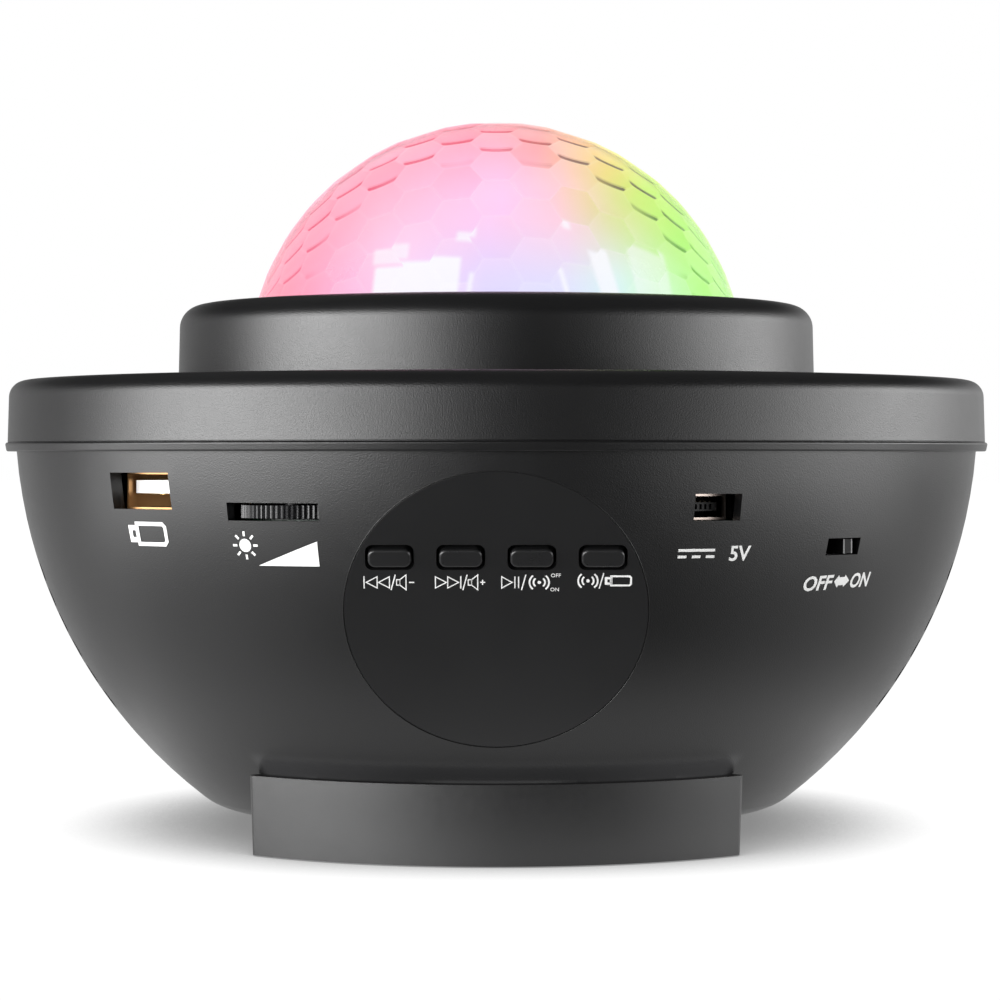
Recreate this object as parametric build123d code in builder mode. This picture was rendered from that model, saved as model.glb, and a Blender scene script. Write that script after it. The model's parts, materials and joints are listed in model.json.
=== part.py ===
from build123d import *
import math
import os

# --------------------------------------------------------------------------
# Star night light projector.
#
# Millimetres and degrees. +Z is up, the case's axis is the Z axis, z = 0 is
# the table under the stand's pads, and the front faces -Y. An azimuth is
# measured round the Z axis from the front, positive towards +X.
# --------------------------------------------------------------------------

# Clearances
face_gap = 0.3  # between curved faces of different pieces
running_gap = 0.05  # round a shaft in its bearing
thread_gap = 0.05  # round a screw in its pilot hole
clearance_gap = 0.25  # round a screw that passes through

# Case
wall = 2.2
bowl_radius = 82.25
bowl_centre_z = 70.0
bowl_bottom_z = 3.5
bowl_edge_round = 8.0
seam_z = 65.1
rim_overhang = 2.0  # of the rim outside the bowl, at its lower edge
rim_height = 1.5
rim_draft = 0.3
rim_round = 0.35
lip_height = 1.8
lid_inset = 0.5  # of the lid inside the rim
lid_height = 10.4
lid_draft = 0.3
lid_round = 2.8
collar_width = 11.6  # from the dome to the collar's foot
collar_height = 13.0
collar_draft = 0.3
collar_round = 3.8
collar_foot_round = 0.6

# Dome lens and its seat in the collar
dome_radius = 43.1
dome_wall = 2.0
dome_sink = 11.05  # from the collar's top down to the sphere's centre
lens_flange_width = 3.4
lens_flange_thickness = 2.0
lens_flange_top_drop = 10.5  # from the collar's top to the flange
retainer_thickness = 2.0
retainer_inset = 2.1  # of the retainer's bore inside the sphere
retainer_boss_radius = 2.3
retainer_boss_wall_gap = 0.3  # of the bosses' outer side inside the collar's wall

# Screws: head radius, head height, shaft radius
big_head_radius = 2.8
big_head_height = 1.6
big_shaft_radius = 1.5
small_head_radius = 1.9
small_head_height = 1.2
small_shaft_radius = 1.0
recess_width = 0.5
recess_share = 0.65  # of the head's radius that the cross recess reaches

# Button panel, a disc let into the bowl where a plane cuts it
panel_tilt = 22.57
panel_radius = 22.7
panel_gap = 0.12
panel_thickness = 2.0
panel_edge_round = 0.12
ledge_width = 2.6
ledge_thickness = 1.8
ledge_root = 2.7  # of the ledge outside the panel's edge, in the bowl's wall
button_pitch = 10.5
button_rise = 8.9  # of the button row above the panel's middle
button_width = 6.4
button_height = 2.9
button_corner = 1.1
button_edge_round = 0.45
button_proud = 0.6
button_end_gap = 0.4  # to the panel, left and right of a button
button_side_gap = 0.58  # above and below it
button_lip_height = 1.2
button_lip_thickness = 0.9
button_travel = 0.4
button_stem_radius = 1.3
button_stem_length = 1.2
switch_size = 6.0
switch_height = 3.4
plunger_radius = 1.75
plunger_length = 2.3
plunger_rise = 1.0  # above the switch's case
key_board_thickness = 1.6
key_board_width = 40.0
key_board_height = 9.6
key_boss_radius = 1.7
key_screw_length = 5.5

# Main board, a crescent behind the front wall
board_top_z = 53.3
board_thickness = 1.6
board_outer_gap = 4.0  # to the bowl's inner wall
board_half_angle = 55.0
board_notch_half_width = 21.5
board_notch_gap = 5.5  # behind the key board
board_strip_width = 11.5  # of the board behind the notch
board_boss_inset = 4.0  # of the bosses' middles outside the board's inner edge
board_boss_radius = 2.6
board_boss_angles = (-50.0, -14.0, 14.0, 50.0)
board_screw_length = 6.0

# Parts on the main board
component_inset = 5.5  # of their middles outside the board's inner edge
processor_width = 9.0
processor_height = 1.6
amplifier_width = 6.0
amplifier_length = 9.0
amplifier_height = 1.8
chip_chamfer = 0.25
capacitor_radius = 3.15
capacitor_height = 6.5
connector_width = 5.0
connector_length = 4.0
connector_height = 5.0
connector_wall = 0.6
connector_floor = 1.0

# USB-A socket
usb_azimuth = -42.2
usb_width = 13.2
usb_height = 5.8
usb_depth = 14.0
usb_centre_rise = 4.2  # above the board
usb_shell_wall = 0.35
usb_window_width = 13.4
usb_window_height = 5.6
usb_block_depth = 4.0
usb_tongue_width = 11.6
usb_tongue_thickness = 2.0
usb_tongue_rise = 0.6
usb_tongue_inset = 1.2
usb_contact_pitch = 2.4
usb_contact_width = 1.1
contact_thickness = 0.2

# Power socket
power_azimuth = 24.0
power_width = 7.7
power_height = 3.9
power_depth = 9.0
power_shell_wall = 0.35
power_set_back = 1.8  # behind the bowl's inner wall
power_window_width = 7.8
power_window_height = 4.0
power_block_depth = 2.5
power_tongue_width = 5.4
power_tongue_thickness = 1.3
power_tongue_inset = 0.8
power_contact_pitch = 0.8
power_contact_width = 0.4
power_contact_count = 5
power_slot_height = 0.8  # of the slots in the tongue's tip, in front of the contacts
power_slot_depth = 0.6

# Brightness thumbwheel
dimmer_azimuth = -24.4
dimmer_wheel_radius = 8.0
dimmer_wheel_thickness = 1.9
dimmer_proud = 0.9
dimmer_tooth_count = 60
dimmer_tooth_depth = 0.35
dimmer_axle_radius = 1.5
dimmer_body_width = 12.0
dimmer_body_thickness = 2.5
dimmer_body_front = 4.0
dimmer_leg_depth = 4.0
dimmer_window_width = 15.4
dimmer_window_height = 2.7

# Power slide switch, hung under the main board
slider_azimuth = 42.0
slider_centre_drop = 2.7  # below the board's underside
slider_body_width = 9.4
slider_body_height = 5.0
slider_body_depth = 6.0
slider_travel = 2.8
slider_block_width = 4.0
slider_block_height = 3.2
slider_block_depth = 2.6
slider_gap = 0.15
slider_face_wall = 0.5
slider_lever_width = 2.1
slider_lever_height = 2.2
slider_lever_sink = 0.4  # of the lever's tip inside the bowl's outer face
slider_window_width = 7.4
slider_window_height = 2.6

# Chassis plate under the lid
chassis_bottom_z = 61.0
chassis_thickness = 2.0
chassis_edge_gap = 3.4  # to the lip
chassis_boss_inset = 8.5  # of the bosses' middles inside the chassis's edge
chassis_boss_radius = 4.0
chassis_screw_length = 9.0
post_board_gap = 3.1
post_radius = 4.5
post_top_z = 48.0
post_shoulder_z = 36.0
case_screw_length = 20.0

# Light engine on the chassis
cup_height = 8.7
cup_rim_wall = 1.2
cup_base_wall = 3.6
cup_shoulder_width = 3.5
cup_shoulder_height = 4.7
led_board_thickness = 1.6
led_board_gap = 0.3
led_size = 5.0
led_height = 1.4
led_circle = 14.5
led_count = 4
laser_radius = 6.0
laser_length = 18.0
laser_sink = 10.0  # below the chassis plate
laser_socket_wall = 2.2
laser_nose_radius = 2.4
laser_nose_length = 0.8
laser_chamfer = 0.4
gear_module = 1.0
ring_teeth = 72
pinion_teeth = 12
gear_height = 4.0
gear_addendum = 0.8
gear_dedendum = 1.15
gear_backlash = 0.2
ring_rim_width = 4.55  # from the ring gear's bore to the roots of its teeth
pressure_angle = 20.0
ripple_thickness = 1.6
ripple_edge_gap = 1.2
ripple_chamfer = 0.3
grating_radius = 7.5
grating_thickness = 0.8
motor_radius = 10.0
motor_length = 14.0
motor_chamfer = 0.8
motor_flange_thickness = 1.0
motor_screw_offset = 12.8
motor_ear_radius = 2.8
motor_boss_radius = 3.0
motor_boss_height = 1.5
motor_bore_depth = 5.0
motor_screw_length = 4.6
shaft_radius = 1.0
shaft_overrun = 0.5

# Loudspeakers, one behind each side wall
speaker_z = 32.9
speaker_well_depth = 18.9
well_wall = 2.0
speaker_radius = 19.8
speaker_flange_thickness = 1.2
speaker_ear_reach = 0.4  # of the ears' middles outside the basket
speaker_ear_radius = 2.5
speaker_screw_length = 7.0
basket_depth = 10.0
basket_foot_radius = 12.0
basket_wall = 1.0
magnet_radius = 11.0
magnet_depth = 6.5
yoke_thickness = 2.0
pole_radius = 4.6
pole_gap_radius = 5.9
surround_width = 2.25
surround_gap = 0.1  # to the cone
surround_seat_gap = 0.05
surround_skin = 0.4
surround_step = 0.4  # of the basket's step behind its flange
surround_rise = 1.1
cone_radius = 14.8
cone_depth = 6.0
cone_thickness = 0.5
coil_radius = 5.4
coil_wall = 0.4
coil_length = 5.8
cap_rise = 1.6
grille_hole_radius = 1.575
grille_pitch = 4.24
grille_radius = 20.5

# Stand under the bowl
stand_overhang = 2.7  # of the stand's top edge outside the bowl
stand_half_angle = 39.4
stand_top_z = 12.7
stand_wall = 2.4
stand_corner_round = 1.2
stand_draft_angle = 2.0
stand_lift = 0.2  # of the walls above the table
disc_inset = 7.0  # inside the flat under the bowl
disc_thickness = 2.6
rib_thickness = 1.8
rib_lift = 0.6  # above the walls' lower edge
rib_angles = (-27.5, -13.0, 13.0, 27.5)
stand_screw_inset = 7.4  # inside the disc's edge
stand_screw_length = 8.0
stand_boss_radius = 3.4
stand_boss_height = 8.5
pad_radius = 4.0
pad_sink = 0.9
pad_inset = 7.7  # of the pads' middles inside the stand's edge
pad_angles = (-20.2, 20.2)
pad_boss_wall = 1.2

# --------------------------------------------------------------------------
# Values that follow from the sizes above
# --------------------------------------------------------------------------

rim_bottom_z = seam_z - rim_height
floor_z = bowl_bottom_z + wall
lid_top_z = seam_z + lid_height
collar_top_z = lid_top_z + collar_height
dome_centre_z = collar_top_z - dome_sink
inner_radius = bowl_radius - wall
chassis_top_z = chassis_bottom_z + chassis_thickness
board_bottom_z = board_top_z - board_thickness
front_angle = -90.0  # of azimuth 0 in the XY plane


def bowl_point(radius, z):
    """Point (r, z) on a sphere of the given radius about the bowl's centre."""
    return (math.sqrt(radius**2 - (z - bowl_centre_z) ** 2), z)


def clear_reach(low_z, width):
    """How far out a piece can stand inside the bowl: low_z is its lowest edge."""
    return math.sqrt(bowl_point(inner_radius, low_z)[0] ** 2 - (width / 2) ** 2) - face_gap


def wall_plane(azimuth, z, reach=0.0):
    """Upright plane facing outwards: x to the right, y up, z outwards."""
    angle = math.radians(azimuth)
    outward = Vector(math.sin(angle), -math.cos(angle), 0)
    across = Vector(math.cos(angle), math.sin(angle), 0)
    return Plane(origin=outward * reach + Vector(0, 0, z), x_dir=across, z_dir=outward)


def panel_plane(depth=0.0):
    """Plane of the button panel, depth behind its face, x right and y up the panel."""
    tilt = math.radians(panel_tilt)
    normal = Vector(0, -math.cos(tilt), -math.sin(tilt))
    face = math.sqrt(bowl_radius**2 - (panel_radius + panel_gap) ** 2)
    origin = Vector(0, 0, bowl_centre_z) + normal * (face - depth)
    return Plane(origin=origin, x_dir=(1, 0, 0), z_dir=normal)


def panel_back_y(depth, z):
    """Where the plane depth behind the panel's face meets the height z, at x = 0."""
    back = panel_plane(depth)
    return back.origin.Y - back.z_dir.Z / back.z_dir.Y * (z - back.origin.Z)


def speaker_plane(side, reach):
    """Plane across a speaker's axis, facing outwards. side is +1 or -1."""
    return Plane(origin=(side * reach, 0, speaker_z), x_dir=(0, side, 0), z_dir=(side, 0, 0))


def polar_point(circle, azimuth):
    """Point (x, y) on a circle about the Z axis."""
    angle = math.radians(azimuth)
    return (circle * math.sin(angle), -circle * math.cos(angle))


def down_planes(points, z):
    """Planes at the points, facing down, for screws driven from above."""
    return [Plane(origin=(x, y, z), x_dir=(1, 0, 0), z_dir=(0, 0, -1)) for x, y in points]


def up_planes(points, z):
    """Planes at the points, facing up, for screws driven from below."""
    return [Plane(origin=(x, y, z)) for x, y in points]


rim_radius = bowl_point(bowl_radius, rim_bottom_z)[0] + rim_overhang
lid_radius = rim_radius - lid_inset
lip_outer = lid_radius - wall - face_gap
lip_inner = bowl_point(inner_radius, seam_z)[0]
switch_front = panel_thickness + button_lip_thickness + button_stem_length + plunger_rise
key_board_front = switch_front + switch_height
key_board_back = key_board_front + key_board_thickness
board_notch_front = -panel_back_y(key_board_back, board_bottom_z) - board_notch_gap
board_inner_radius = board_notch_front - board_strip_width
board_boss_circle = board_inner_radius + board_boss_inset
component_circle = board_inner_radius + component_inset
chassis_radius = lip_inner - chassis_edge_gap
chassis_boss_circle = chassis_radius - chassis_boss_inset
post_spacing = math.sqrt(2) * (board_inner_radius - post_board_gap - post_radius)
speaker_screw_circle = speaker_radius + speaker_ear_reach
collar_radius = dome_radius + collar_width
ring_pitch_radius = ring_teeth * gear_module / 2
pinion_pitch_radius = pinion_teeth * gear_module / 2
ring_bore_radius = ring_pitch_radius - gear_dedendum * gear_module - ring_rim_width
cup_radius = ring_bore_radius - face_gap
stand_radius = bowl_point(bowl_radius, stand_top_z)[0] + stand_overhang
disc_radius = bowl_point(bowl_radius, bowl_bottom_z)[0] - disc_inset
stand_screw_circle = disc_radius - stand_screw_inset
pad_circle = stand_radius - pad_inset

big_screw = (big_head_radius, big_head_height, big_shaft_radius)
small_screw = (small_head_radius, small_head_height, small_shaft_radius)


def make_screws(planes, size, length):
    """Pan head screws. Each plane is the head's bearing face and faces along the shaft."""
    head_radius, head_height, screw_radius = size
    with BuildPart() as screws:
        for plane in planes:
            with BuildSketch(plane):
                Circle(head_radius)
            extrude(amount=-head_height)
            with BuildSketch(plane):
                Circle(screw_radius)
            extrude(amount=length)
            with BuildSketch(plane.offset(-head_height)):
                Rectangle(2 * head_radius * recess_share, recess_width)
                Rectangle(recess_width, 2 * head_radius * recess_share)
            extrude(amount=head_height / 2, mode=Mode.SUBTRACT)
    return screws


def gear_outline(teeth, phase):
    """Involute gear outline as points, with a tooth centred on the angle phase."""
    pitch = teeth * gear_module / 2
    base = pitch * math.cos(math.radians(pressure_angle))
    root = pitch - gear_dedendum * gear_module
    tip = pitch + gear_addendum * gear_module

    def involute(radius):
        slope = math.acos(min(1.0, base / radius))
        return math.tan(slope) - slope

    half_at_pitch = math.pi / (2 * teeth) - gear_backlash / (4 * pitch)
    start = max(base, root)
    flank = []
    for step in range(4):
        radius = start + (tip - start) * step / 3
        flank.append((radius, half_at_pitch + involute(pitch) - involute(radius)))
    if base > root:
        flank.insert(0, (root, flank[0][1]))
    points = []
    for tooth in range(teeth):
        middle = math.radians(phase) + 2 * math.pi * tooth / teeth
        for radius, half in flank:
            points.append((radius * math.cos(middle - half), radius * math.sin(middle - half)))
        for radius, half in reversed(flank):
            points.append((radius * math.cos(middle + half), radius * math.sin(middle + half)))
    return points


# --------------------------------------------------------------------------
# Lower case: the bowl with its bead, lip, posts, speaker wells and openings
# --------------------------------------------------------------------------

case_post_points = [
    (x * post_spacing / 2, y * post_spacing / 2) for x in (1, -1) for y in (1, -1)
]
stand_screw_points = [polar_point(stand_screw_circle, azimuth) for azimuth in (0, 90, 180, 270)]
well_seat = bowl_point(inner_radius, speaker_z)[0] - speaker_well_depth
grille_points = [
    (column * grille_pitch, (row + 0.5) * grille_pitch)
    for column in range(-4, 5)
    for row in range(-5, 5)
    if math.hypot(column, row + 0.5) * grille_pitch < grille_radius
]
ledge_back = panel_thickness + ledge_thickness
button_columns = [(number - 1.5) * button_pitch for number in range(4)]
button_window_width = button_width + 2 * button_end_gap
button_window_height = button_height + 2 * button_side_gap
usb_z = board_top_z + usb_centre_rise
power_z = board_top_z + power_height / 2
dimmer_z = board_top_z + face_gap + dimmer_wheel_thickness / 2
slider_z = board_bottom_z - slider_centre_drop
windows = [
    (usb_azimuth, usb_z, usb_window_width, usb_window_height),
    (power_azimuth, power_z, power_window_width, power_window_height),
    (dimmer_azimuth, dimmer_z, dimmer_window_width, dimmer_window_height),
    (slider_azimuth, slider_z, slider_window_width, slider_window_height),
]

with BuildPart() as wells_and_posts:
    for side in (1, -1):
        with BuildSketch(speaker_plane(side, well_seat)):
            Circle(speaker_radius)
            with PolarLocations(speaker_screw_circle, 4, start_angle=45):
                Circle(speaker_ear_radius)
            Circle(speaker_radius - well_wall, mode=Mode.SUBTRACT)
        extrude(amount=bowl_radius)
    # Posts for the case screws and bosses for the stand screws
    with BuildSketch(Plane.XY.offset(bowl_bottom_z)):
        with Locations(*case_post_points):
            Circle(post_radius)
    extrude(amount=post_top_z - bowl_bottom_z)
    with BuildSketch(Plane.XY.offset(bowl_bottom_z)):
        with Locations(*stand_screw_points):
            Circle(stand_boss_radius)
    extrude(amount=stand_boss_height)
    with Locations((0, 0, bowl_centre_z)):
        Sphere(bowl_radius - wall / 2, mode=Mode.INTERSECT)

# Sound holes in front of both speakers. They end in the bowl's wall, clear of the wells' walls.
with BuildPart() as sound_holes:
    for side in (1, -1):
        with BuildSketch(speaker_plane(side, well_seat)):
            with Locations(*grille_points):
                Circle(grille_hole_radius)
        extrude(amount=bowl_radius)
    with Locations((0, 0, bowl_centre_z)):
        Sphere(inner_radius - face_gap, mode=Mode.SUBTRACT)

with BuildPart() as lower_case:
    bottom_corner = bowl_point(bowl_radius, bowl_bottom_z)
    rim_corner = bowl_point(bowl_radius, rim_bottom_z)
    with BuildSketch(Plane.XZ):
        with BuildLine():
            Line((0, bowl_bottom_z), bottom_corner)
            middle_z = (bowl_bottom_z + rim_bottom_z) / 2
            ThreePointArc(bottom_corner, bowl_point(bowl_radius, middle_z), rim_corner)
            FilletPolyline(
                rim_corner,
                (rim_radius - rim_draft, rim_bottom_z),
                (rim_radius, seam_z),
                (lip_outer, seam_z),
                radius=rim_round,
            )
            Polyline(
                (lip_outer, seam_z),
                (lip_outer, seam_z + lip_height),
                (lip_inner, seam_z + lip_height),
                (lip_inner, seam_z),
            )
            middle_z = (floor_z + seam_z) / 2
            floor_corner = bowl_point(inner_radius, floor_z)
            ThreePointArc((lip_inner, seam_z), bowl_point(inner_radius, middle_z), floor_corner)
            Polyline(floor_corner, (0, floor_z), (0, bowl_bottom_z))
        make_face()
    revolve(axis=Axis.Z)
    fillet(lower_case.edges().filter_by(GeomType.CIRCLE).sort_by(Axis.Z)[0], bowl_edge_round)
    add(wells_and_posts.part)
    # Holes for the stand screws and for the case screws, whose heads sit deep in the posts
    with BuildSketch(Plane.XY.offset(bowl_bottom_z)):
        with Locations(*stand_screw_points):
            Circle(big_shaft_radius + thread_gap)
    extrude(amount=stand_screw_length - disc_thickness + big_head_height, mode=Mode.SUBTRACT)
    with BuildSketch(Plane.XY.offset(bowl_bottom_z)):
        with Locations(*case_post_points):
            Circle(big_shaft_radius + clearance_gap)
    extrude(amount=post_top_z - bowl_bottom_z, mode=Mode.SUBTRACT)
    with BuildSketch(Plane.XY.offset(bowl_bottom_z)):
        with Locations(*case_post_points):
            Circle(big_head_radius + clearance_gap)
    extrude(amount=post_shoulder_z - bowl_bottom_z, mode=Mode.SUBTRACT)
    # Ledge that carries the button panel, and the pocket in front of it
    with BuildSketch(panel_plane(ledge_back)):
        Circle(panel_radius + ledge_root)
    extrude(amount=ledge_thickness)
    with BuildSketch(panel_plane(ledge_back)):
        Circle(panel_radius - ledge_width)
        with Locations((0, button_rise)):
            Rectangle(3 * button_pitch + button_window_width + button_side_gap, key_board_height)
    extrude(amount=ledge_thickness, mode=Mode.SUBTRACT)
    with BuildSketch(panel_plane(panel_thickness)):
        Circle(panel_radius + panel_gap)
    extrude(amount=panel_radius, mode=Mode.SUBTRACT)
    # Windows for the sockets, the thumbwheel and the slide switch
    for azimuth, window_z, width, height in windows:
        reach = inner_radius - 2 * wall
        with BuildSketch(wall_plane(azimuth, window_z, reach)):
            Rectangle(width, height)
        extrude(amount=bowl_radius - reach + wall, mode=Mode.SUBTRACT)
    add(sound_holes.part, mode=Mode.SUBTRACT)
    # Pilot holes for the speaker screws
    for side in (1, -1):
        with BuildSketch(speaker_plane(side, well_seat)):
            with PolarLocations(speaker_screw_circle, 4, start_angle=45):
                Circle(small_shaft_radius + thread_gap)
        extrude(amount=speaker_screw_length, mode=Mode.SUBTRACT)

# --------------------------------------------------------------------------
# Upper case: lid and collar in one moulding, with the dome lens's seat
# --------------------------------------------------------------------------

collar_inner = collar_radius - collar_draft - wall
collar_under_z = collar_top_z - wall
lens_flange_top_z = collar_top_z - lens_flange_top_drop
lens_flange_radius = dome_radius + lens_flange_width
retainer_top_z = lens_flange_top_z - lens_flange_thickness
retainer_radius = collar_inner - face_gap
retainer_screw_circle = collar_inner - retainer_boss_wall_gap - retainer_boss_radius
retainer_screw_points = [polar_point(retainer_screw_circle, a) for a in (45, 135, 225, 315)]
chassis_screw_points = [polar_point(chassis_boss_circle, a) for a in (0, 90, 180, 270)]


def dome_hole(z):
    """Radius of the collar's opening round the dome at height z."""
    return math.sqrt((dome_radius + face_gap / 2) ** 2 - (z - dome_centre_z) ** 2)


with BuildPart() as upper_case:
    with BuildSketch(Plane.XZ):
        with BuildLine():
            FilletPolyline(
                (lid_radius, seam_z),
                (lid_radius - lid_draft, lid_top_z),
                (collar_radius, lid_top_z),
                (collar_radius - collar_draft, collar_top_z),
                (dome_hole(collar_top_z), collar_top_z),
                radius=[lid_round, collar_foot_round, collar_round],
            )
            Polyline(
                (dome_hole(collar_top_z), collar_top_z),
                (dome_hole(collar_under_z), collar_under_z),
                (dome_radius + face_gap, collar_under_z),
                (dome_radius + face_gap, lens_flange_top_z),
                (dome_radius + face_gap + wall, lens_flange_top_z),
                (dome_radius + face_gap + wall, collar_under_z),
                (collar_inner, collar_under_z),
                (collar_inner, lid_top_z - wall),
                (lid_radius - lid_draft - wall, lid_top_z - wall),
                (lid_radius - wall, seam_z),
                (lid_radius, seam_z),
            )
        make_face()
    revolve(axis=Axis.Z)
    # Bosses for the chassis screws under the lid
    with BuildSketch(Plane.XY.offset(chassis_top_z)):
        with Locations(*chassis_screw_points):
            Circle(chassis_boss_radius)
    extrude(amount=lid_top_z - wall / 2 - chassis_top_z)
    with BuildSketch(Plane.XY.offset(chassis_top_z)):
        with Locations(*chassis_screw_points):
            Circle(big_shaft_radius + thread_gap)
    extrude(amount=chassis_screw_length, mode=Mode.SUBTRACT)
    # Bosses for the lens retainer's screws inside the collar
    with BuildSketch(Plane.XY.offset(retainer_top_z)):
        with Locations(*retainer_screw_points):
            Circle(retainer_boss_radius)
    extrude(amount=collar_under_z - retainer_top_z)
    with BuildSketch(Plane.XY.offset(retainer_top_z)):
        with Locations(*retainer_screw_points):
            Circle(small_shaft_radius + thread_gap)
    extrude(amount=lens_flange_top_drop - wall - retainer_thickness, mode=Mode.SUBTRACT)

with BuildPart() as dome_lens:
    dome_inner = dome_radius - dome_wall
    flange_bottom_z = lens_flange_top_z - lens_flange_thickness
    with BuildSketch(Plane.XZ):
        with BuildLine():
            outer_foot = math.sqrt(dome_radius**2 - (lens_flange_top_z - dome_centre_z) ** 2)
            inner_foot = math.sqrt(dome_inner**2 - (flange_bottom_z - dome_centre_z) ** 2)
            turn = dome_radius * math.sqrt(0.5)
            inner_turn = dome_inner * math.sqrt(0.5)
            Polyline(
                (inner_foot, flange_bottom_z),
                (lens_flange_radius, flange_bottom_z),
                (lens_flange_radius, lens_flange_top_z),
                (outer_foot, lens_flange_top_z),
            )
            ThreePointArc(
                (outer_foot, lens_flange_top_z),
                (turn, dome_centre_z + turn),
                (0, dome_centre_z + dome_radius),
            )
            Line((0, dome_centre_z + dome_radius), (0, dome_centre_z + dome_inner))
            ThreePointArc(
                (0, dome_centre_z + dome_inner),
                (inner_turn, dome_centre_z + inner_turn),
                (inner_foot, flange_bottom_z),
            )
        make_face()
    revolve(axis=Axis.Z)

with BuildPart() as lens_retainer:
    with BuildSketch(Plane.XY.offset(retainer_top_z - retainer_thickness)):
        Circle(retainer_radius)
        Circle(dome_radius - retainer_inset, mode=Mode.SUBTRACT)
        with Locations(*retainer_screw_points):
            Circle(small_shaft_radius + clearance_gap, mode=Mode.SUBTRACT)
    extrude(amount=retainer_thickness)

lens_retainer_screws = make_screws(
    up_planes(retainer_screw_points, retainer_top_z - retainer_thickness),
    small_screw,
    lens_flange_top_drop - wall - thread_gap,
)

# --------------------------------------------------------------------------
# Chassis plate, the posts' legs and the main board's bosses
# --------------------------------------------------------------------------

motor_y = ring_pitch_radius + pinion_pitch_radius
motor_screw_points = [(motor_screw_offset, motor_y), (-motor_screw_offset, motor_y)]
board_screw_points = [polar_point(board_boss_circle, azimuth) for azimuth in board_boss_angles]
board_outer_radius = bowl_point(inner_radius, board_bottom_z)[0] - board_outer_gap
laser_hole_radius = laser_radius + running_gap

with BuildPart() as chassis:
    with BuildSketch(Plane.XY.offset(chassis_bottom_z)):
        Circle(chassis_radius)
    extrude(amount=chassis_thickness)
    with BuildSketch(Plane.XY.offset(post_top_z)):
        with Locations(*case_post_points):
            Circle(post_radius)
    extrude(amount=chassis_bottom_z - post_top_z)
    with BuildSketch(Plane.XY.offset(board_top_z)):
        with Locations(*board_screw_points):
            Circle(board_boss_radius)
    extrude(amount=chassis_bottom_z - board_top_z)
    with BuildSketch(Plane.XY.offset(chassis_bottom_z - laser_sink + laser_socket_wall)):
        Circle(laser_radius + laser_socket_wall)
    extrude(amount=laser_sink - laser_socket_wall)
    with BuildSketch(Plane.XY.offset(post_top_z)):
        with Locations(*case_post_points):
            Circle(big_shaft_radius + thread_gap)
    extrude(amount=case_screw_length - (post_top_z - post_shoulder_z), mode=Mode.SUBTRACT)
    with BuildSketch(Plane.XY.offset(board_top_z)):
        with Locations(*board_screw_points):
            Circle(small_shaft_radius + thread_gap)
    extrude(amount=board_screw_length - board_thickness, mode=Mode.SUBTRACT)
    with BuildSketch(Plane.XY.offset(chassis_bottom_z)):
        with Locations(*chassis_screw_points):
            Circle(big_shaft_radius + clearance_gap)
        with Locations((0, motor_y)):
            Circle(motor_boss_radius + face_gap)
        with Locations(*motor_screw_points):
            Circle(small_shaft_radius + clearance_gap)
    extrude(amount=chassis_thickness, mode=Mode.SUBTRACT)
    with BuildSketch(Plane.XY.offset(chassis_bottom_z - laser_sink)):
        Circle(laser_hole_radius)
    extrude(amount=laser_sink + chassis_thickness, mode=Mode.SUBTRACT)

chassis_screws = make_screws(
    up_planes(chassis_screw_points, chassis_bottom_z),
    big_screw,
    chassis_screw_length + chassis_thickness - thread_gap,
)
case_screws = make_screws(
    up_planes(case_post_points, post_shoulder_z),
    big_screw,
    case_screw_length - thread_gap,
)

# --------------------------------------------------------------------------
# Main board and what stands on it
# --------------------------------------------------------------------------

dimmer_reach = bowl_point(bowl_radius, dimmer_z)[0] + dimmer_proud - dimmer_wheel_radius

with BuildPart() as main_board:
    with BuildSketch(Plane.XY.offset(board_bottom_z)):
        with BuildLine():
            start = front_angle - board_half_angle
            CenterArc((0, 0), board_outer_radius, start, 2 * board_half_angle)
            CenterArc((0, 0), board_inner_radius, start, 2 * board_half_angle)
            for azimuth in (-board_half_angle, board_half_angle):
                Line(
                    polar_point(board_inner_radius, azimuth),
                    polar_point(board_outer_radius, azimuth),
                )
        make_face()
        with Locations((0, -board_notch_front)):
            Rectangle(
                2 * board_notch_half_width,
                board_outer_radius,
                align=(Align.CENTER, Align.MAX),
                mode=Mode.SUBTRACT,
            )
        with Locations(*board_screw_points):
            Circle(small_shaft_radius + clearance_gap, mode=Mode.SUBTRACT)
    extrude(amount=board_thickness)

board_screws = make_screws(
    up_planes(board_screw_points, board_bottom_z),
    small_screw,
    board_screw_length - thread_gap,
)


def board_plane(circle, azimuth, z=board_top_z):
    """Plane on the board at a place on it, y pointing outwards."""
    x, y = polar_point(circle, azimuth)
    angle = math.radians(azimuth)
    return Plane(origin=(x, y, z), x_dir=(-math.cos(angle), -math.sin(angle), 0), z_dir=(0, 0, 1))


chip_sizes = (
    (0.0, processor_width, processor_width, processor_height),
    (33.0, amplifier_width, amplifier_length, amplifier_height),
)
with BuildPart() as chips:
    for azimuth, width, length, height in chip_sizes:
        with BuildSketch(board_plane(component_circle, azimuth)):
            Rectangle(width, length)
        extrude(amount=height)
        chamfer(chips.faces().sort_by(Axis.Z)[-1].edges(), chip_chamfer)

with BuildPart() as capacitors:
    for azimuth in (-42.0, -34.0, 42.0):
        with BuildSketch(board_plane(component_circle, azimuth)):
            Circle(capacitor_radius)
        extrude(amount=capacitor_height)

with BuildPart() as board_connectors:
    for azimuth in (-26.0, 24.0):
        with BuildSketch(board_plane(component_circle, azimuth)):
            Rectangle(connector_width, connector_length)
        extrude(amount=connector_height)
        socket_floor_z = board_top_z + connector_floor
        with BuildSketch(board_plane(component_circle, azimuth, socket_floor_z)):
            Rectangle(connector_width - 2 * connector_wall, connector_length - 2 * connector_wall)
        extrude(amount=connector_height - connector_floor, mode=Mode.SUBTRACT)

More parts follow.
